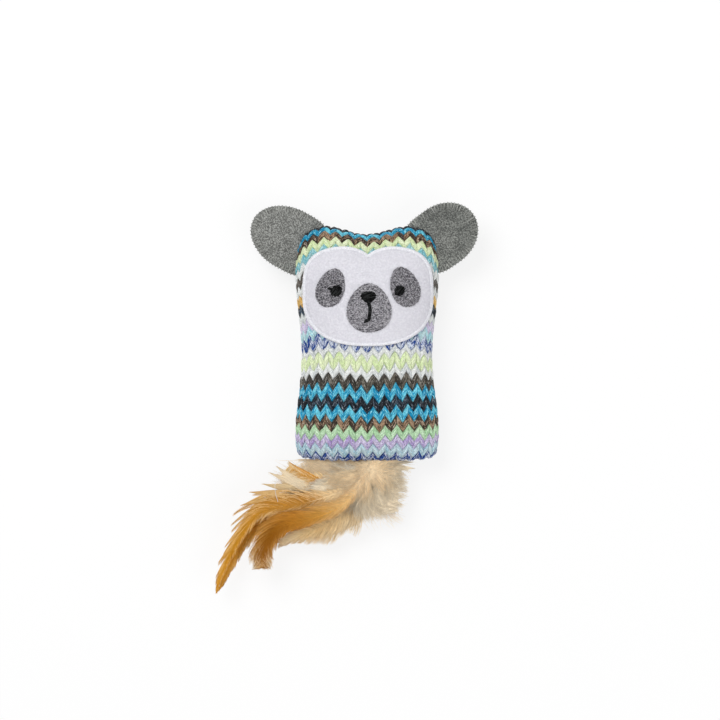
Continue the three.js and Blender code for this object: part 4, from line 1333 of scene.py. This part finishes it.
FEATHERS = {
    "brown_feather": {
        "slot": "brown_feather",
        "reach": 80, "vane": 8.5, "centre_reach": (0.25, 0.95),
        "shaft": [(-0.08, -0.11), (-0.2, -0.25), (-0.41, -0.34), (-0.59, -0.39), (-0.69, -0.48),
                  (-0.735, -0.58), (-0.734, -0.672)],
        "lower": [0.3, 0.45, 0.4, 0.45, 0.65, 0.8, 0.75], "upper": [0.3, 0.7, 0.9, 0.95, 1.0, 0.85, 0.65],
        "centre": [(0.0, CREAM), (0.26, TAN), (0.42, (200, 146, 66)), (0.6, (186, 124, 40)),
                   (0.76, DARK_BROWN), (0.95, (148, 92, 24)), (1.0, (206, 164, 106))],
        "edge": [(0.0, CREAM), (0.38, TAN), (0.6, (196, 134, 52)), (0.86, (206, 154, 80)),
                 (1.0, (234, 208, 168))],
        "downy_until": 0.25, "lean": 2.4, "passes": 2.8, "clump": 0.2, "fray": 2.2, "bunch": 2.5,
        "fluff": [(150, 330, 3, 12, 420, 0.05), (0, 360, 3, 9, 420, 0.05), (-75, 80, 5, 21, 360, 0.05),
                  (225, 262, 8, 22, 160, 0.1)],
    },
    "outer_hackle": {
        "slot": "golden_feather",
        "reach": 107, "vane": 12,
        "shaft": [(-0.11, -0.096), (-0.276, -0.156), (-0.393, -0.182), (-0.529, -0.207), (-0.59, -0.25),
                  (-0.641, -0.318), (-0.697, -0.412), (-0.742, -0.505), (-0.77, -0.58), (-0.779, -0.627)],
        "lower": [0.3, 0.45, 0.5, 0.45, 0.34, 0.24, 0.19, 0.15, 0.1, 0.04],
        "upper": [0.2, 0.5, 0.75, 1.05, 1.0, 0.75, 0.48, 0.27, 0.14, 0.04],
        "centre_reach": (0.3, 0.7), "streaks": 0.9,
        "centre": [(0.0, CREAM), (0.2, PALE_TAN), (0.31, (186, 130, 54)), (0.42, (196, 138, 54)),
                   (0.7, (206, 142, 34)), (1.0, DEEP_GOLD)],
        "edge": [(0.0, CREAM), (0.3, PALE_TAN), (0.55, (226, 188, 130)), (0.8, (226, 182, 112)),
                 (1.0, (222, 172, 92))],
        "downy_until": 0.2, "lean": 2.4, "passes": 2.4, "clump": 0.85, "fray": 2.5, "bunch": 4.2,
        "fluff": [(200, 230, 12, 34, 320, 0.1)],
        "tufts": [((-47, -13.5), (-66, -12.4), 2.3, 90, 0.5, 0.8),
                  ((-56, -15), (-70.6, -19.9), 2.0, 90, 0.6, 0.7)],
    },
    "middle_feather": {
        "slot": "cream_feather",
        "reach": 47, "vane": 8,
        "shaft": [(-0.17, -0.04), (-0.38, -0.14), (-0.6, -0.28), (-0.77, -0.43), (-0.85, -0.52)],
        "lower": [0.4, 0.9, 1, 0.8, 0.4], "upper": [0.4, 0.8, 1, 0.8, 0.4],
        "centre": [(0.0, PALE_TAN), (0.4, (240, 228, 204)), (1.0, PALE_TAN)],
        "edge": [(0.0, CREAM), (0.5, (240, 230, 210)), (1.0, CREAM)],
        "downy_until": 0.9, "lean": 1.3, "passes": 3.0, "clump": 0.3, "fray": 6.0, "bunch": 3.6,
        "fluff": [(185, 202, 8, 22, 240, 0.5), (200, 245, 8, 30, 420, 0.5)],
    },
    "upper_feather": {
        "slot": "golden_feather",
        "reach": 53, "vane": 8, "centre_reach": (0.0, 0.35),
        "shaft": [(-0.2, -0.08), (-0.42, -0.13), (-0.62, -0.09), (-0.74, -0.03), (-0.83, 0.03)],
        "lower": [0.6, 1.4, 1.95, 1.9, 1.45], "upper": [0.35, 0.6, 0.6, 0.4, 0.25],
        "centre": [(0.0, PALE_TAN), (0.35, (220, 164, 82)), (0.6, GINGER), (0.85, GINGER), (1.0, TAN)],
        "edge": [(0.0, (234, 216, 186)), (0.5, PALE_TAN), (1.0, (226, 202, 160))],
        "downy_until": 0.3, "lean": 1.5, "passes": 3.0, "clump": 0.85, "fray": 7.0, "bunch": 3.6,
        "fluff": [(186, 210, 8, 25, 380, 0.12)],
        "tufts": [((-26, -8.5), (-44.3, 3.9), 2.0, 70, 0.7, 0.0),
                  ((-36, -10), (-51.3, 1.8), 3.0, 110, 0.0, 1.0),
                  ((-37, -9), (-55.5, -1.8), 2.6, 100, 0.1, 1.0),
                  ((-42, -11), (-59.2, -8.0), 2.2, 80, 0.9, 0.5)],
    },
    "edge_feather": {
        "slot": "cream_feather",
        "reach": 42, "vane": 6,
        "shaft": [(-0.2, -0.04), (-0.5, -0.05), (-0.78, -0.04), (-1, -0.03)],
        "lower": [0.6, 1.2, 1.1, 0.6], "upper": [0.5, 0.7, 0.7, 0.4],
        "centre": [(0.0, TAN), (0.4, PALE_TAN), (1.0, CREAM)],
        "edge": [(0.0, PALE_TAN), (0.5, CREAM), (1.0, CREAM)],
        "downy_until": 0.9, "lean": 1.5, "passes": 2.6, "clump": 0.5, "fray": 5.0, "bunch": 4.0,
        "fluff": [(165, 200, 12, 39, 1000, 0.6), (163, 182, 28, 43, 700, 0.7),
                  (154, 167, 24, 39, 200, 0.7), (95, 175, 8, 24, 520, 0.5)],
    },
    "right_feather": {
        "slot": "cream_feather",
        "reach": 28.5, "vane": 18,
        "shaft": [(0.1, -0.2), (0.24, -0.45), (0.33, -0.66), (0.36, -0.84)],
        "lower": [1, 0.8, 0.6, 0.3], "upper": [0.35, 0.5, 0.5, 0.3],
        "centre": [(0.0, TAN), (0.25, PALE_TAN), (0.6, (247, 233, 207)), (1.0, (246, 232, 208))],
        "edge": [(0.0, CREAM), (0.5, (243, 230, 205)), (1.0, (245, 231, 206))],
        "downy_until": 0.95, "lean": 0.6, "passes": 3.2, "clump": 0.4, "fray": 8.0, "bunch": 3.6,
        "down_girth": 0.2,
        "fluff": [(-124, -92, 14, 31, 420, 0.6), (-112, -84, 24, 31, 240, 0.6),
                  (-96, -62, 8, 28.5, 620, 0.6), (-75, 8, 8, 25, 900, 0.6),
                  (-12, 14, 12, 24, 260, 0.5), (0, 90, 7, 21, 140, 0.5)],
        "tufts": [((8, 0.8), (24.3, 0.2), 2.6, 80, 0.4, 1.0), ((8, 3.2), (23.4, 3.6), 2.2, 70, 0.5, 1.0)],
    },
    "inner_hackle": {
        "slot": "golden_feather",
        "reach": 106, "vane": 4,
        "shaft": [(-0.104, -0.094), (-0.264, -0.16), (-0.425, -0.222), (-0.547, -0.278), (-0.623, -0.344),
                  (-0.684, -0.434), (-0.734, -0.528), (-0.762, -0.59), (-0.779, -0.626)],
        "lower": [0.6, 0.8, 0.9, 1, 1, 0.9, 0.6, 0.4, 0.1],
        "upper": [0.6, 0.8, 0.9, 1, 1, 0.9, 0.6, 0.4, 0.1],
        "centre_reach": (0.3, 0.7), "streaks": 0.9,
        "centre": [(0.0, CREAM), (0.24, TAN), (0.36, (190, 134, 58)), (0.6, (220, 160, 62)),
                   (1.0, DEEP_GOLD)],
        "edge": [(0.0, CREAM), (0.4, PALE_TAN), (0.7, (236, 196, 122)), (1.0, (222, 172, 92))],
        "downy_until": 0.2, "lean": 2.6, "passes": 1.8, "clump": 0.4, "fray": 2.5, "bunch": 3.0,
        "fluff": [(200, 240, 8, 24, 160, 0.1), (199, 218, 22, 50, 420, 0.2),
                  (201, 216, 38, 61, 560, 0.25)],
    },
    "lower_feather": {
        "slot": "tan_feather",
        "reach": 64, "vane": 13,
        "shaft": [(-0.06, -0.19), (-0.22, -0.375), (-0.44, -0.5), (-0.66, -0.58), (-0.77, -0.635)],
        "lower": [0.65, 1, 0.75, 0.35, 0.15], "upper": [0.4, 0.7, 0.7, 0.5, 0.2],
        "centre": [(0.0, CREAM), (0.3, (244, 218, 172)), (0.7, (244, 210, 152)), (1.0, (242, 216, 172))],
        "edge": [(0.0, CREAM), (0.4, (246, 226, 190)), (0.8, (242, 216, 172)), (1.0, CREAM)],
        "downy_until": 0.7, "lean": 1.7, "passes": 3.4, "clump": 0.25, "fray": 6.0, "bunch": 3.6,
        "fluff": [(225, 300, 10, 36, 1500, 0.3)],
    },
}


def feather_material(name, spec):
    """Barbs coloured along the feather and from its shaft to its edge, each barb a little different."""
    material, nodes, shader = new_material(name)
    seed = nodes.attribute("seed")
    wander = nodes.maths("MULTIPLY_ADD", seed, 0.12, -0.06)
    place = nodes.maths("ADD", nodes.attribute("shaft_share"), wander, clamp=True)
    centre, edge = (nodes.ramp(place, [(share, linear(colour)) for share, colour in spec[key]]).outputs[0]
                    for key in ("centre", "edge"))
    streaks = spec.get("streaks", 0.5)
    out = nodes.maths("ADD", nodes.attribute("out"), nodes.maths("MULTIPLY_ADD", seed, streaks, -streaks / 2))
    colour = nodes.mix_colour(nodes.smooth_range(out, *spec.get("centre_reach", (0.1, 0.8))), centre, edge)
    along = nodes.maths("MULTIPLY_ADD", nodes.attribute("along"), 3.0, nodes.maths("MULTIPLY", seed, 70))
    mottle = nodes.noise("1D", W=along, Scale=1.0, Detail=1.0)
    shade = nodes.smooth_range(mottle, 0.3, 0.7, 0.84, 1.12)
    shade = nodes.maths("MULTIPLY", shade, nodes.maths("MULTIPLY_ADD", seed, 0.22, 0.89))
    nodes.feed(shader, {
        "Base Color": nodes.shaded(colour, shade),
        "Roughness": nodes.smooth_range(seed, 0.0, 1.0, 0.45, 0.7),
        "Specular IOR Level": 0.08,
        "Sheen Weight": 0.02,
    })
    return material


def feather_height(x, y, level):
    """Height of a feather's layer at a place from the binding. Layers part away from it, and droop."""
    reach = np.hypot(x, y)
    parting = ease((reach - BINDING_RADIUS) / LAYERS_PART_BY)
    spacing = QUILL_SPACING + (FEATHER_SPACING - QUILL_SPACING) * parting
    droop = DROOP_DEPTH * np.maximum(0, (reach - DROOP_START) / DROOP_LENGTH) ** 1.5
    clear_of_ball = BINDING_RADIUS + BALL_CLEARANCE
    off_ball = np.sqrt(np.maximum(0, clear_of_ball**2 - reach**2))
    lift = np.clip(level * spacing, -off_ball, off_ball) if abs(level) < 3 else level * spacing
    over = np.sign(level) * np.maximum(np.abs(lift), off_ball)
    return SEAM_Z + np.where(reach < clear_of_ball, over, level * spacing) - droop


def keep_clear(points, uneven=0.1):
    """Holds what lies beside the body within the turning circle of the tail's hinge."""
    y, z = points[..., 1] - BINDING[1], points[..., 2] - SEAM_Z
    reach = np.maximum(np.hypot(y, z), 1e-6)
    limit = BODY_CLEARANCE * (1 - uneven * (np.arange(len(points)) % 7)[:, None] / 6)
    shrink = np.where(y > 0, np.minimum(1, limit / reach), 1)
    points[..., 1] = BINDING[1] + y * shrink
    points[..., 2] = SEAM_Z + z * shrink
    return points


def gather(flat, order, bunch, share, rest):
    """Pulls the outer ends of barbs together in bunches. Order is each barb's place along the shaft."""
    number = np.floor(order / bunch + 0.35 * rest.normal(size=len(order)) * 0.3).astype(int)
    sorted_by = np.argsort(number, kind="stable")
    _, first, size = np.unique(number[sorted_by], return_index=True, return_counts=True)
    leader = np.empty(len(order), int)
    for begin, many in zip(first, size):
        leader[sorted_by[begin:begin + many]] = sorted_by[begin + many // 2]
    pull = share * ease((BARB_STEPS - 0.3) / 0.75)
    return flat + (flat[leader] - flat) * pull[..., None]


def on_line(line, arc):
    """Points and headings at lengths along a shaft, straight on past its end."""
    fine, _, length, heading = line
    inside = np.clip(arc, 0, length[-1])
    spot, way = (at_lengths(inside, length, held) for held in (fine, heading))
    return spot + way * (arc - inside)[..., None], way


def width_along(spec, widths, line, arc):
    """The width of a vane at lengths along its shaft."""
    _, place, length, _ = line
    widths = np.concatenate([[0.5 / spec["vane"]], widths]) * spec["vane"]
    return np.interp(np.interp(arc, length, place), np.arange(len(widths)), widths)


def vane_barbs(spec, side, widths, line, rest):
    """Barbs of one vane: they leave the shaft and sweep towards its end, wavy where they are down."""
    total = line[2][-1]
    count = int(total / BARB_SPACING * spec["passes"])
    start = np.sort(rest.uniform(0.01, 0.995, count)) * total
    down = 1 - ease((start / total - spec["downy_until"] + 0.15) / 0.3)
    order = start / spec["bunch"]
    own = rest.uniform(0.8, 1.2, int(order.max()) + 2)[order.astype(int)]
    sweep = width_along(spec, widths, line, start) * spec["lean"] * (1 - 0.45 * down)
    sweep = np.maximum(sweep * rest.uniform(0.85, 1.15, count), 2.0)
    furthest = total + spec["fray"] * (0.65 * rest.random(count) + 0.35 * own - 0.6)
    end = np.minimum(start + own * sweep, furthest)
    width = width_along(spec, widths, line, end)
    clump = spec["clump"] * np.clip(width[:, None] / 3, 0.1, 1)
    width = width * rest.uniform(0.78, 1.05, count) * own ** np.clip(0.25 * width, 0, 0.8)
    width = width * np.where(start + own * sweep > furthest, rest.uniform(0.05, 1.0, count), 1)
    off_middle = np.abs(order - np.floor(order) - 0.5) * 2
    t = BARB_STEPS * (1 - 0.35 * clump * off_middle[:, None])
    arc = start[:, None] + (end - start)[:, None] * t
    phase = 5 * np.interp(start / 3, np.arange(200), rest.normal(size=200)) + rest.normal(0, 0.7, count)
    wave = (0.08 + 0.5 * down)[:, None] * t * np.sin(t * (5 + 5 * down)[:, None] + phase[:, None])
    spot, way = on_line(line, arc + wave)
    normal = side * left_of(way)
    flat = spot + normal * (width[:, None] * t**0.8 + 0.5 * wave)[..., None]
    flat = gather(flat, start, spec["bunch"], clump, rest)
    loft = (0.08 + 0.25 * down)[:, None] * rest.normal(0, 1, (count, 1)) * t - 0.25 * t**2
    girth = (BARB_GIRTH - (BARB_GIRTH - DOWN_GIRTH) * down)[:, None] * BARB_TAPER
    return flat, loft, girth, np.clip(arc / total, 0, 1), np.broadcast_to(t, arc.shape)


def vane_web(name, spec, side, widths, line, level):
    """The closed web under the barbs of one vane, a thin slab that ends inside their tips."""
    total = line[2][-1]
    start = np.linspace(0.03, 0.97, WEB_STEPS[0]) * total
    share = np.linspace(0, 0.85 - 0.3 * spec["clump"], WEB_STEPS[1])[None]
    end = np.minimum(start + width_along(spec, widths, line, start) * spec["lean"], total)
    arc = start[:, None] + (end - start)[:, None] * share
    spot, way = on_line(line, arc)
    normal = side * left_of(way)
    flat = spot + normal * (0.85 * width_along(spec, widths, line, end)[:, None] * share**0.8)[..., None]
    height = feather_height(flat[..., 0], flat[..., 1], level) - 0.14 - 0.25 * share**2
    top = keep_clear(np.dstack([flat + BINDING, height]), 0.0).reshape(-1, 3)
    rows, columns = arc.shape
    count = rows * columns
    rim = [*range(columns), *range(2 * columns - 1, count, columns),
           *range(count - 2, count - columns - 1, -1), *range(count - 2 * columns, 0, -columns)]
    walls = [(k, rim[i - 1], rim[i - 1] + count, k + count) for i, k in enumerate(rim)]
    sheet, walls = ([face[::side] for face in faces] for faces in (grid_faces(columns, rows), walls))
    faces = sheet + [tuple(k + count for k in face[::-1]) for face in sheet] + walls
    web = make_mesh(name, np.concatenate([top, top - [0, 0, WEB_THICKNESS]]), faces)
    values = {"shaft_share": np.clip(arc / total, 0, 1), "out": share}
    for key, value in {**values, **UNMARLED}.items():
        set_attribute(web.data, key, np.tile(np.broadcast_to(value, arc.shape).ravel(), 2))
    return web


def root_down(fluff, rest, thickness):
    """Wavy down that springs from the quill by the binding, between two angles."""
    low, high, short, long, count, tone = fluff
    t = BARB_STEPS
    angle = np.radians(rest.uniform(low, high, count))
    reach = rest.uniform(short, long, count)[:, None]
    bend = rest.normal(0, 0.22, count)[:, None] + 0.25 * np.sin(3 * angle)[:, None]
    from_root = rest.uniform(0.3, 4.5, count)[:, None]
    phase = (4 * np.sin(2.7 * angle) + rest.normal(0, 0.9, count))[:, None]
    wave = 0.09 * np.sin(t * 9 + phase) * t
    turned = angle[:, None] + bend * t + wave
    radius = from_root + (reach - from_root) * t
    flat = gather(polar(turned, radius), np.degrees(angle), DOWN_BUNCH, DOWN_CLUMP, rest)
    loft = 0.35 * rest.normal(0, 1, (count, 1)) * t
    girth = np.broadcast_to(thickness * BARB_TAPER, radius.shape)
    shade = np.broadcast_to(tone, radius.shape)
    return flat, loft, girth, shade, np.broadcast_to(0.25 + 0.75 * t, radius.shape)


def parted_tuft(tuft, rest):
    """Barbs that part from a vane in one pointed bunch, wide at its foot and closed at its tip."""
    foot, tip, half_width, count, shaft_share, out = tuft
    foot, tip = np.array(foot), np.array(tip)
    way = tip - foot
    normal = left_of(way) / np.linalg.norm(way)
    t = BARB_STEPS
    off = rest.uniform(-1, 1, count)[:, None]
    begin = rest.uniform(-0.2, 0.3, count)[:, None]
    end = 1 - 0.3 * np.abs(off) * rest.uniform(0.3, 1, count)[:, None]
    share = begin + (end - begin) * t
    aside = off * half_width * np.clip(1 - share, 0, 1.2) ** 0.8 + 0.12 * np.sin(7 * share + 4 * off)
    flat = foot + way * share[..., None] + normal * aside[..., None]
    loft = 0.08 * rest.normal(0, 1, (count, 1)) * t
    girth = np.broadcast_to(TUFT_GIRTH * BARB_TAPER, share.shape)
    return flat, loft, girth, np.broadcast_to(shaft_share, share.shape), np.broadcast_to(out, share.shape)


def make_feather(name, level, seed):
    spec = FEATHERS[name]
    rest = np.random.default_rng(seed)
    root_reach = math.sqrt((BINDING_RADIUS + 0.6) ** 2 - (level * QUILL_SPACING) ** 2)
    first = np.array(spec["shaft"][0])
    root = first / np.linalg.norm(first) * root_reach
    points = np.concatenate([[root], np.array(spec["shaft"]) * spec["reach"]])
    fine = smooth_line(points, np.linspace(0, 1, LINE_STEPS))
    place = np.linspace(0, len(points) - 1, LINE_STEPS)
    length = lengths_along(fine)
    heading = np.gradient(fine, length, axis=0)
    heading /= np.linalg.norm(heading, axis=1, keepdims=True)
    line = (fine, place, length, heading)
    groups = [vane_barbs(spec, side, spec[key], line, rest) for key, side in VANES.items()]
    groups += [root_down(fluff, rest, spec.get("down_girth", DOWN_GIRTH)) for fluff in spec["fluff"]]
    groups += [parted_tuft(tuft, rest) for tuft in spec.get("tufts", ())]
    flat, loft, girth, shaft_share, out = (np.concatenate(values) for values in zip(*groups))
    height = feather_height(flat[..., 0], flat[..., 1], level) + loft
    lines = keep_clear(np.dstack([flat + BINDING, height]))
    material = feather_material(f"{name}_barbs", spec)
    values = {"shaft_share": shaft_share, "out": out}
    barbs = make_threads(f"{name}_barbs", lines, girth, material, sides=3, attributes=values)
    arc = np.linspace(0, length[-1], SHAFT_STEPS)
    spot = at_lengths(arc, length, fine)
    sunk = 0.05 + 0.8 * (1 - ease((np.linalg.norm(spot, axis=1) - 8) / 16))
    height = feather_height(spot[:, 0], spot[:, 1], level) - sunk
    shaft_line = keep_clear(np.dstack([spot[None] + BINDING, height[None]]))
    share = arc / length[-1]
    values = {"shaft_share": share, "out": np.zeros(SHAFT_STEPS)}
    girth = SHAFT_GIRTH * (1 - 0.75 * share)
    shaft = make_threads(f"{name}_shaft", shaft_line, girth, material, sides=8, attributes=values)
    webs = [vane_web(f"{name}_{key}_web", spec, side, spec[key], line, level) for key, side in VANES.items()]
    for web in webs:
        web.data.materials.append(material)
    finish_piece(join(f"{name}_vane", [barbs, shaft, *webs]), name, spec["slot"], name)


STRAY_FIBRE = [(-50.9, -5.4), (-51.6, -9.0), (-51.2, -13.4), (-50.0, -17.6)]
STRAY_STEPS = 24
STRAY_LEVEL = 2.5
STRAY_LIFT = 0.9
STRAY_ARCH = 0.6
STRAY_GIRTH = 0.13


def make_stray_fibre():
    """One loose white fibre that lies over the golden feather."""
    white = thread_material("white_stray_fibre")
    flat = smooth_line(STRAY_FIBRE, np.linspace(0, 1, STRAY_STEPS))
    height = feather_height(flat[:, 0], flat[:, 1], STRAY_LEVEL)
    height = height + STRAY_LIFT - STRAY_ARCH * np.linspace(-1, 1, STRAY_STEPS) ** 2
    line = np.column_stack([flat + BINDING, height])
    fibre = make_threads("stray_fibre", line[None], STRAY_GIRTH, white)
    finish_piece(fibre, "outer_hackle", "sewing_thread")


for layer, feather_name in enumerate(FEATHERS):
    make_feather(feather_name, (len(FEATHERS) - 1) / 2 - layer, 100 + 10 * layer)
make_stray_fibre()


# Loop in the bottom seam, the wound binding of the quills, and what is inside the body
LOOP_WIDTH = 3.0
LOOP_INNER_END = -57.5
LOOP_OUTER_END = -64.6
LOOP_BEND = 0.42
RIBBON_THICKNESS = 0.25
BALL_WIDTH = 5.2
WOUND_RADIUS = 2.85
WOUND_REACH = 2.3
WOUND_TURNS = 46
WOUND_GIRTH = 0.24
SEAM_STITCHES = 150
SEAM_STITCH_INSET = 2.75
SEAM_STITCH_RADIUS = 0.4
SEAM_THREAD_GIRTH = 0.16
LOOP_GAP = 2.4
POUCH_SIZE = (42.0, 34.0, 12.0)
POUCH_DROP = 8.0
POUCH_POWER = 2.6
FILLING_INSET = 4.0


def cloth_material(name):
    """Plain weave that follows Object coordinates."""
    dark, light, threads = CLOTHS[name]
    material, nodes, shader = new_material(name)
    place = nodes.parts(nodes.add("ShaderNodeTexCoord").outputs["Object"])
    waves = []
    for axis in "XY":
        along = nodes.maths("MULTIPLY", nodes.maths("ADD", place[axis], place["Z"]), threads * 2 * math.pi)
        waves.append(nodes.maths("SINE", along))
    weave = nodes.maths("MULTIPLY", *waves)
    share = nodes.smooth_range(weave, -0.6, 0.8)
    nodes.feed(shader, {
        "Base Color": nodes.mix_colour(share, linear(dark), linear(light)),
        "Normal": nodes.bump(weave, 0.4, 0.0001),
        "Roughness": 0.85,
        "Specular IOR Level": 0.25,
    })
    return material


def make_loop():
    """A woven ribbon folded in two, with both ends in the seam."""
    bend = LOOP_BEND
    turns = np.linspace(-np.pi / 2, np.pi / 2, 13)
    path = [(LOOP_INNER_END, -bend)]
    path += [(LOOP_OUTER_END + bend - bend * math.cos(turn), bend * math.sin(turn)) for turn in turns]
    path += [(LOOP_INNER_END, bend)]
    across = np.linspace(-0.5, 0.5, 7) * LOOP_WIDTH
    points = [(BINDING[0] + x, y, SEAM_Z + z + 0.05 * math.cos(3 * x)) for y, z in path for x in across]
    loop = make_mesh("loop_ribbon", points, grid_faces(len(across), len(path)))
    wall = loop.modifiers.new("ribbon_wall", "SOLIDIFY")
    wall.thickness = RIBBON_THICKNESS * MM
    wall.offset = 0
    loop.data.materials.append(cloth_material("white_ribbon"))
    finish_piece(loop, "stuffed_body", "sewing_thread", "tail_loop")


def make_binding(thread):
    """Turns of thread wound over each other into a ball round the quills."""
    core = egg_outline(*BINDING, BALL_WIDTH, BALL_WIDTH, count=32)

    def dome(sign):
        return lambda x, y, share: SEAM_Z + sign * BALL_WIDTH / 2 * np.sqrt(np.maximum(0.003, 1 - share**2))

    ball = blanket("binding_core", BINDING, core, dome(1), dome(-1), 10)
    ball.data.materials.append(thread)
    for name, value in UNMARLED.items():
        set_attribute(ball.data, name, np.full(len(ball.data.vertices), value))
    lines = []
    angle = np.linspace(0, 2 * np.pi, 24)[:, None]
    for turn in range(WOUND_TURNS):
        pole = np.array([rng.normal(0, 0.35), rng.normal(0, 0.35), 1.0])
        if turn % 3 == 0:
            pole = rng.normal(size=3)
        pole /= np.linalg.norm(pole)
        first = np.cross(pole, [0.3, 0.9, 0.1])
        first /= np.linalg.norm(first)
        second = np.cross(pole, first)
        offset = rng.uniform(-WOUND_REACH, WOUND_REACH)
        radius = math.sqrt(max(0.2, WOUND_RADIUS**2 - offset**2))
        ring = pole * offset + radius * (np.cos(angle) * first + np.sin(angle) * second)
        lines.append(ring + [*BINDING, SEAM_Z])
    wound = make_threads("binding_turns", lines, WOUND_GIRTH, thread)
    finish_piece(join("wound_binding", [ball, wound]), "feather_tail", "sewing_thread", "quill_binding")


def make_seam(thread):
    """Stitches inside the seam all round, but for the gap that the loop comes out of."""
    angle = np.linspace(0, 2 * np.pi, SEAM_STITCHES * 8 + 1)
    seam = body_outline(angle)
    inward = -seam / np.linalg.norm(seam, axis=1, keepdims=True)
    coil = angle * SEAM_STITCHES
    inset = SEAM_STITCH_INSET + SEAM_STITCH_RADIUS * np.cos(coil)
    height = SEAM_Z + SEAM_STITCH_RADIUS * np.sin(coil)
    path = np.column_stack([seam + inward * inset[:, None], height])[:-1]

    def sewn(path):
        return (np.abs(path[:, 0] - BINDING[0]) > LOOP_GAP) | (path[:, 1] > 0)

    path = np.roll(path, -np.argmin(sewn(path)), axis=0)
    seam_thread = make_threads("seam_overcast", path[sewn(path)][None], SEAM_THREAD_GIRTH, thread, sides=5)
    finish_piece(seam_thread, "stuffed_body", "sewing_thread", "side_seam_thread")


def make_inside():
    """Catnip pouch and fibre filling, which the knit hides."""
    half = np.array(POUCH_SIZE) / 2
    around = np.linspace(0, 2 * np.pi, 72, endpoint=False)
    across, along = (np.abs(way / length) ** POUCH_POWER
                     for way, length in zip((np.cos(around), np.sin(around)), half))
    shape = polar(around, (across + along) ** (-1 / POUCH_POWER))
    middle = (0.0, -POUCH_DROP)

    def lump(sign, size, rough):
        def height(x, y, share):
            grain = rough * (np.sin(1.9 * x + 0.7 * y) + np.sin(2.3 * y - 1.1 * x)) * (1 - share**6)
            dome = half[2] * np.sqrt(np.maximum(0, 1 - share**POUCH_POWER)) * size
            return SEAM_Z + sign * (dome + 0.15 + grain)
        return height

    top, bottom = (lump(sign, 0.93, 0.12) for sign in (1, -1))
    pouch = blanket("cotton_pouch", middle, shape * 0.985 + middle, top, bottom, 18)
    pouch.data.materials.append(cloth_material("pouch_cotton_weave"))
    finish_piece(pouch, "stuffed_body", "pouch_cotton", "catnip_pouch")

    angle = np.linspace(-np.pi, np.pi, 96, endpoint=False)
    edge = body_outline(angle)
    edge *= 1 - FILLING_INSET / np.linalg.norm(edge, axis=1, keepdims=True)

    def fibre(sign, crown):
        def height(x, y, share):
            grain = 0.22 * (np.sin(0.9 * x + 1.7 * y) + np.sin(1.3 * x - 0.8 * y)) * (1 - share**4)
            field = np.sqrt(np.maximum(0, pillow_field(x / 0.94, y / 0.97)))
            dome = (crown - 2.9) * field * np.sqrt(1 - 0.999 * share**12)
            return SEAM_Z + sign * (dome + 0.12) + grain
        return height

    outer = blanket("filling_outer", (0, 0), edge, fibre(1, FRONT_CROWN), fibre(-1, BACK_CROWN), 24)
    cavity = blanket("filling_cavity", middle, shape * 1.02 + middle, lump(1, 1.06, 0), lump(-1, 1.06, 0), 14)
    cavity.data.flip_normals()
    filling = join("fibre_filling", [outer, cavity])
    filling.data.materials.append(fibre_material("polyester_fibre"))
    finish_piece(filling, "stuffed_body", "fibre_fill", "fibre_stuffing")


make_loop()
make_binding(thread_material("straw_binding_thread"))
make_seam(thread_material("white_sewing_thread", roughness=0.55))
make_inside()
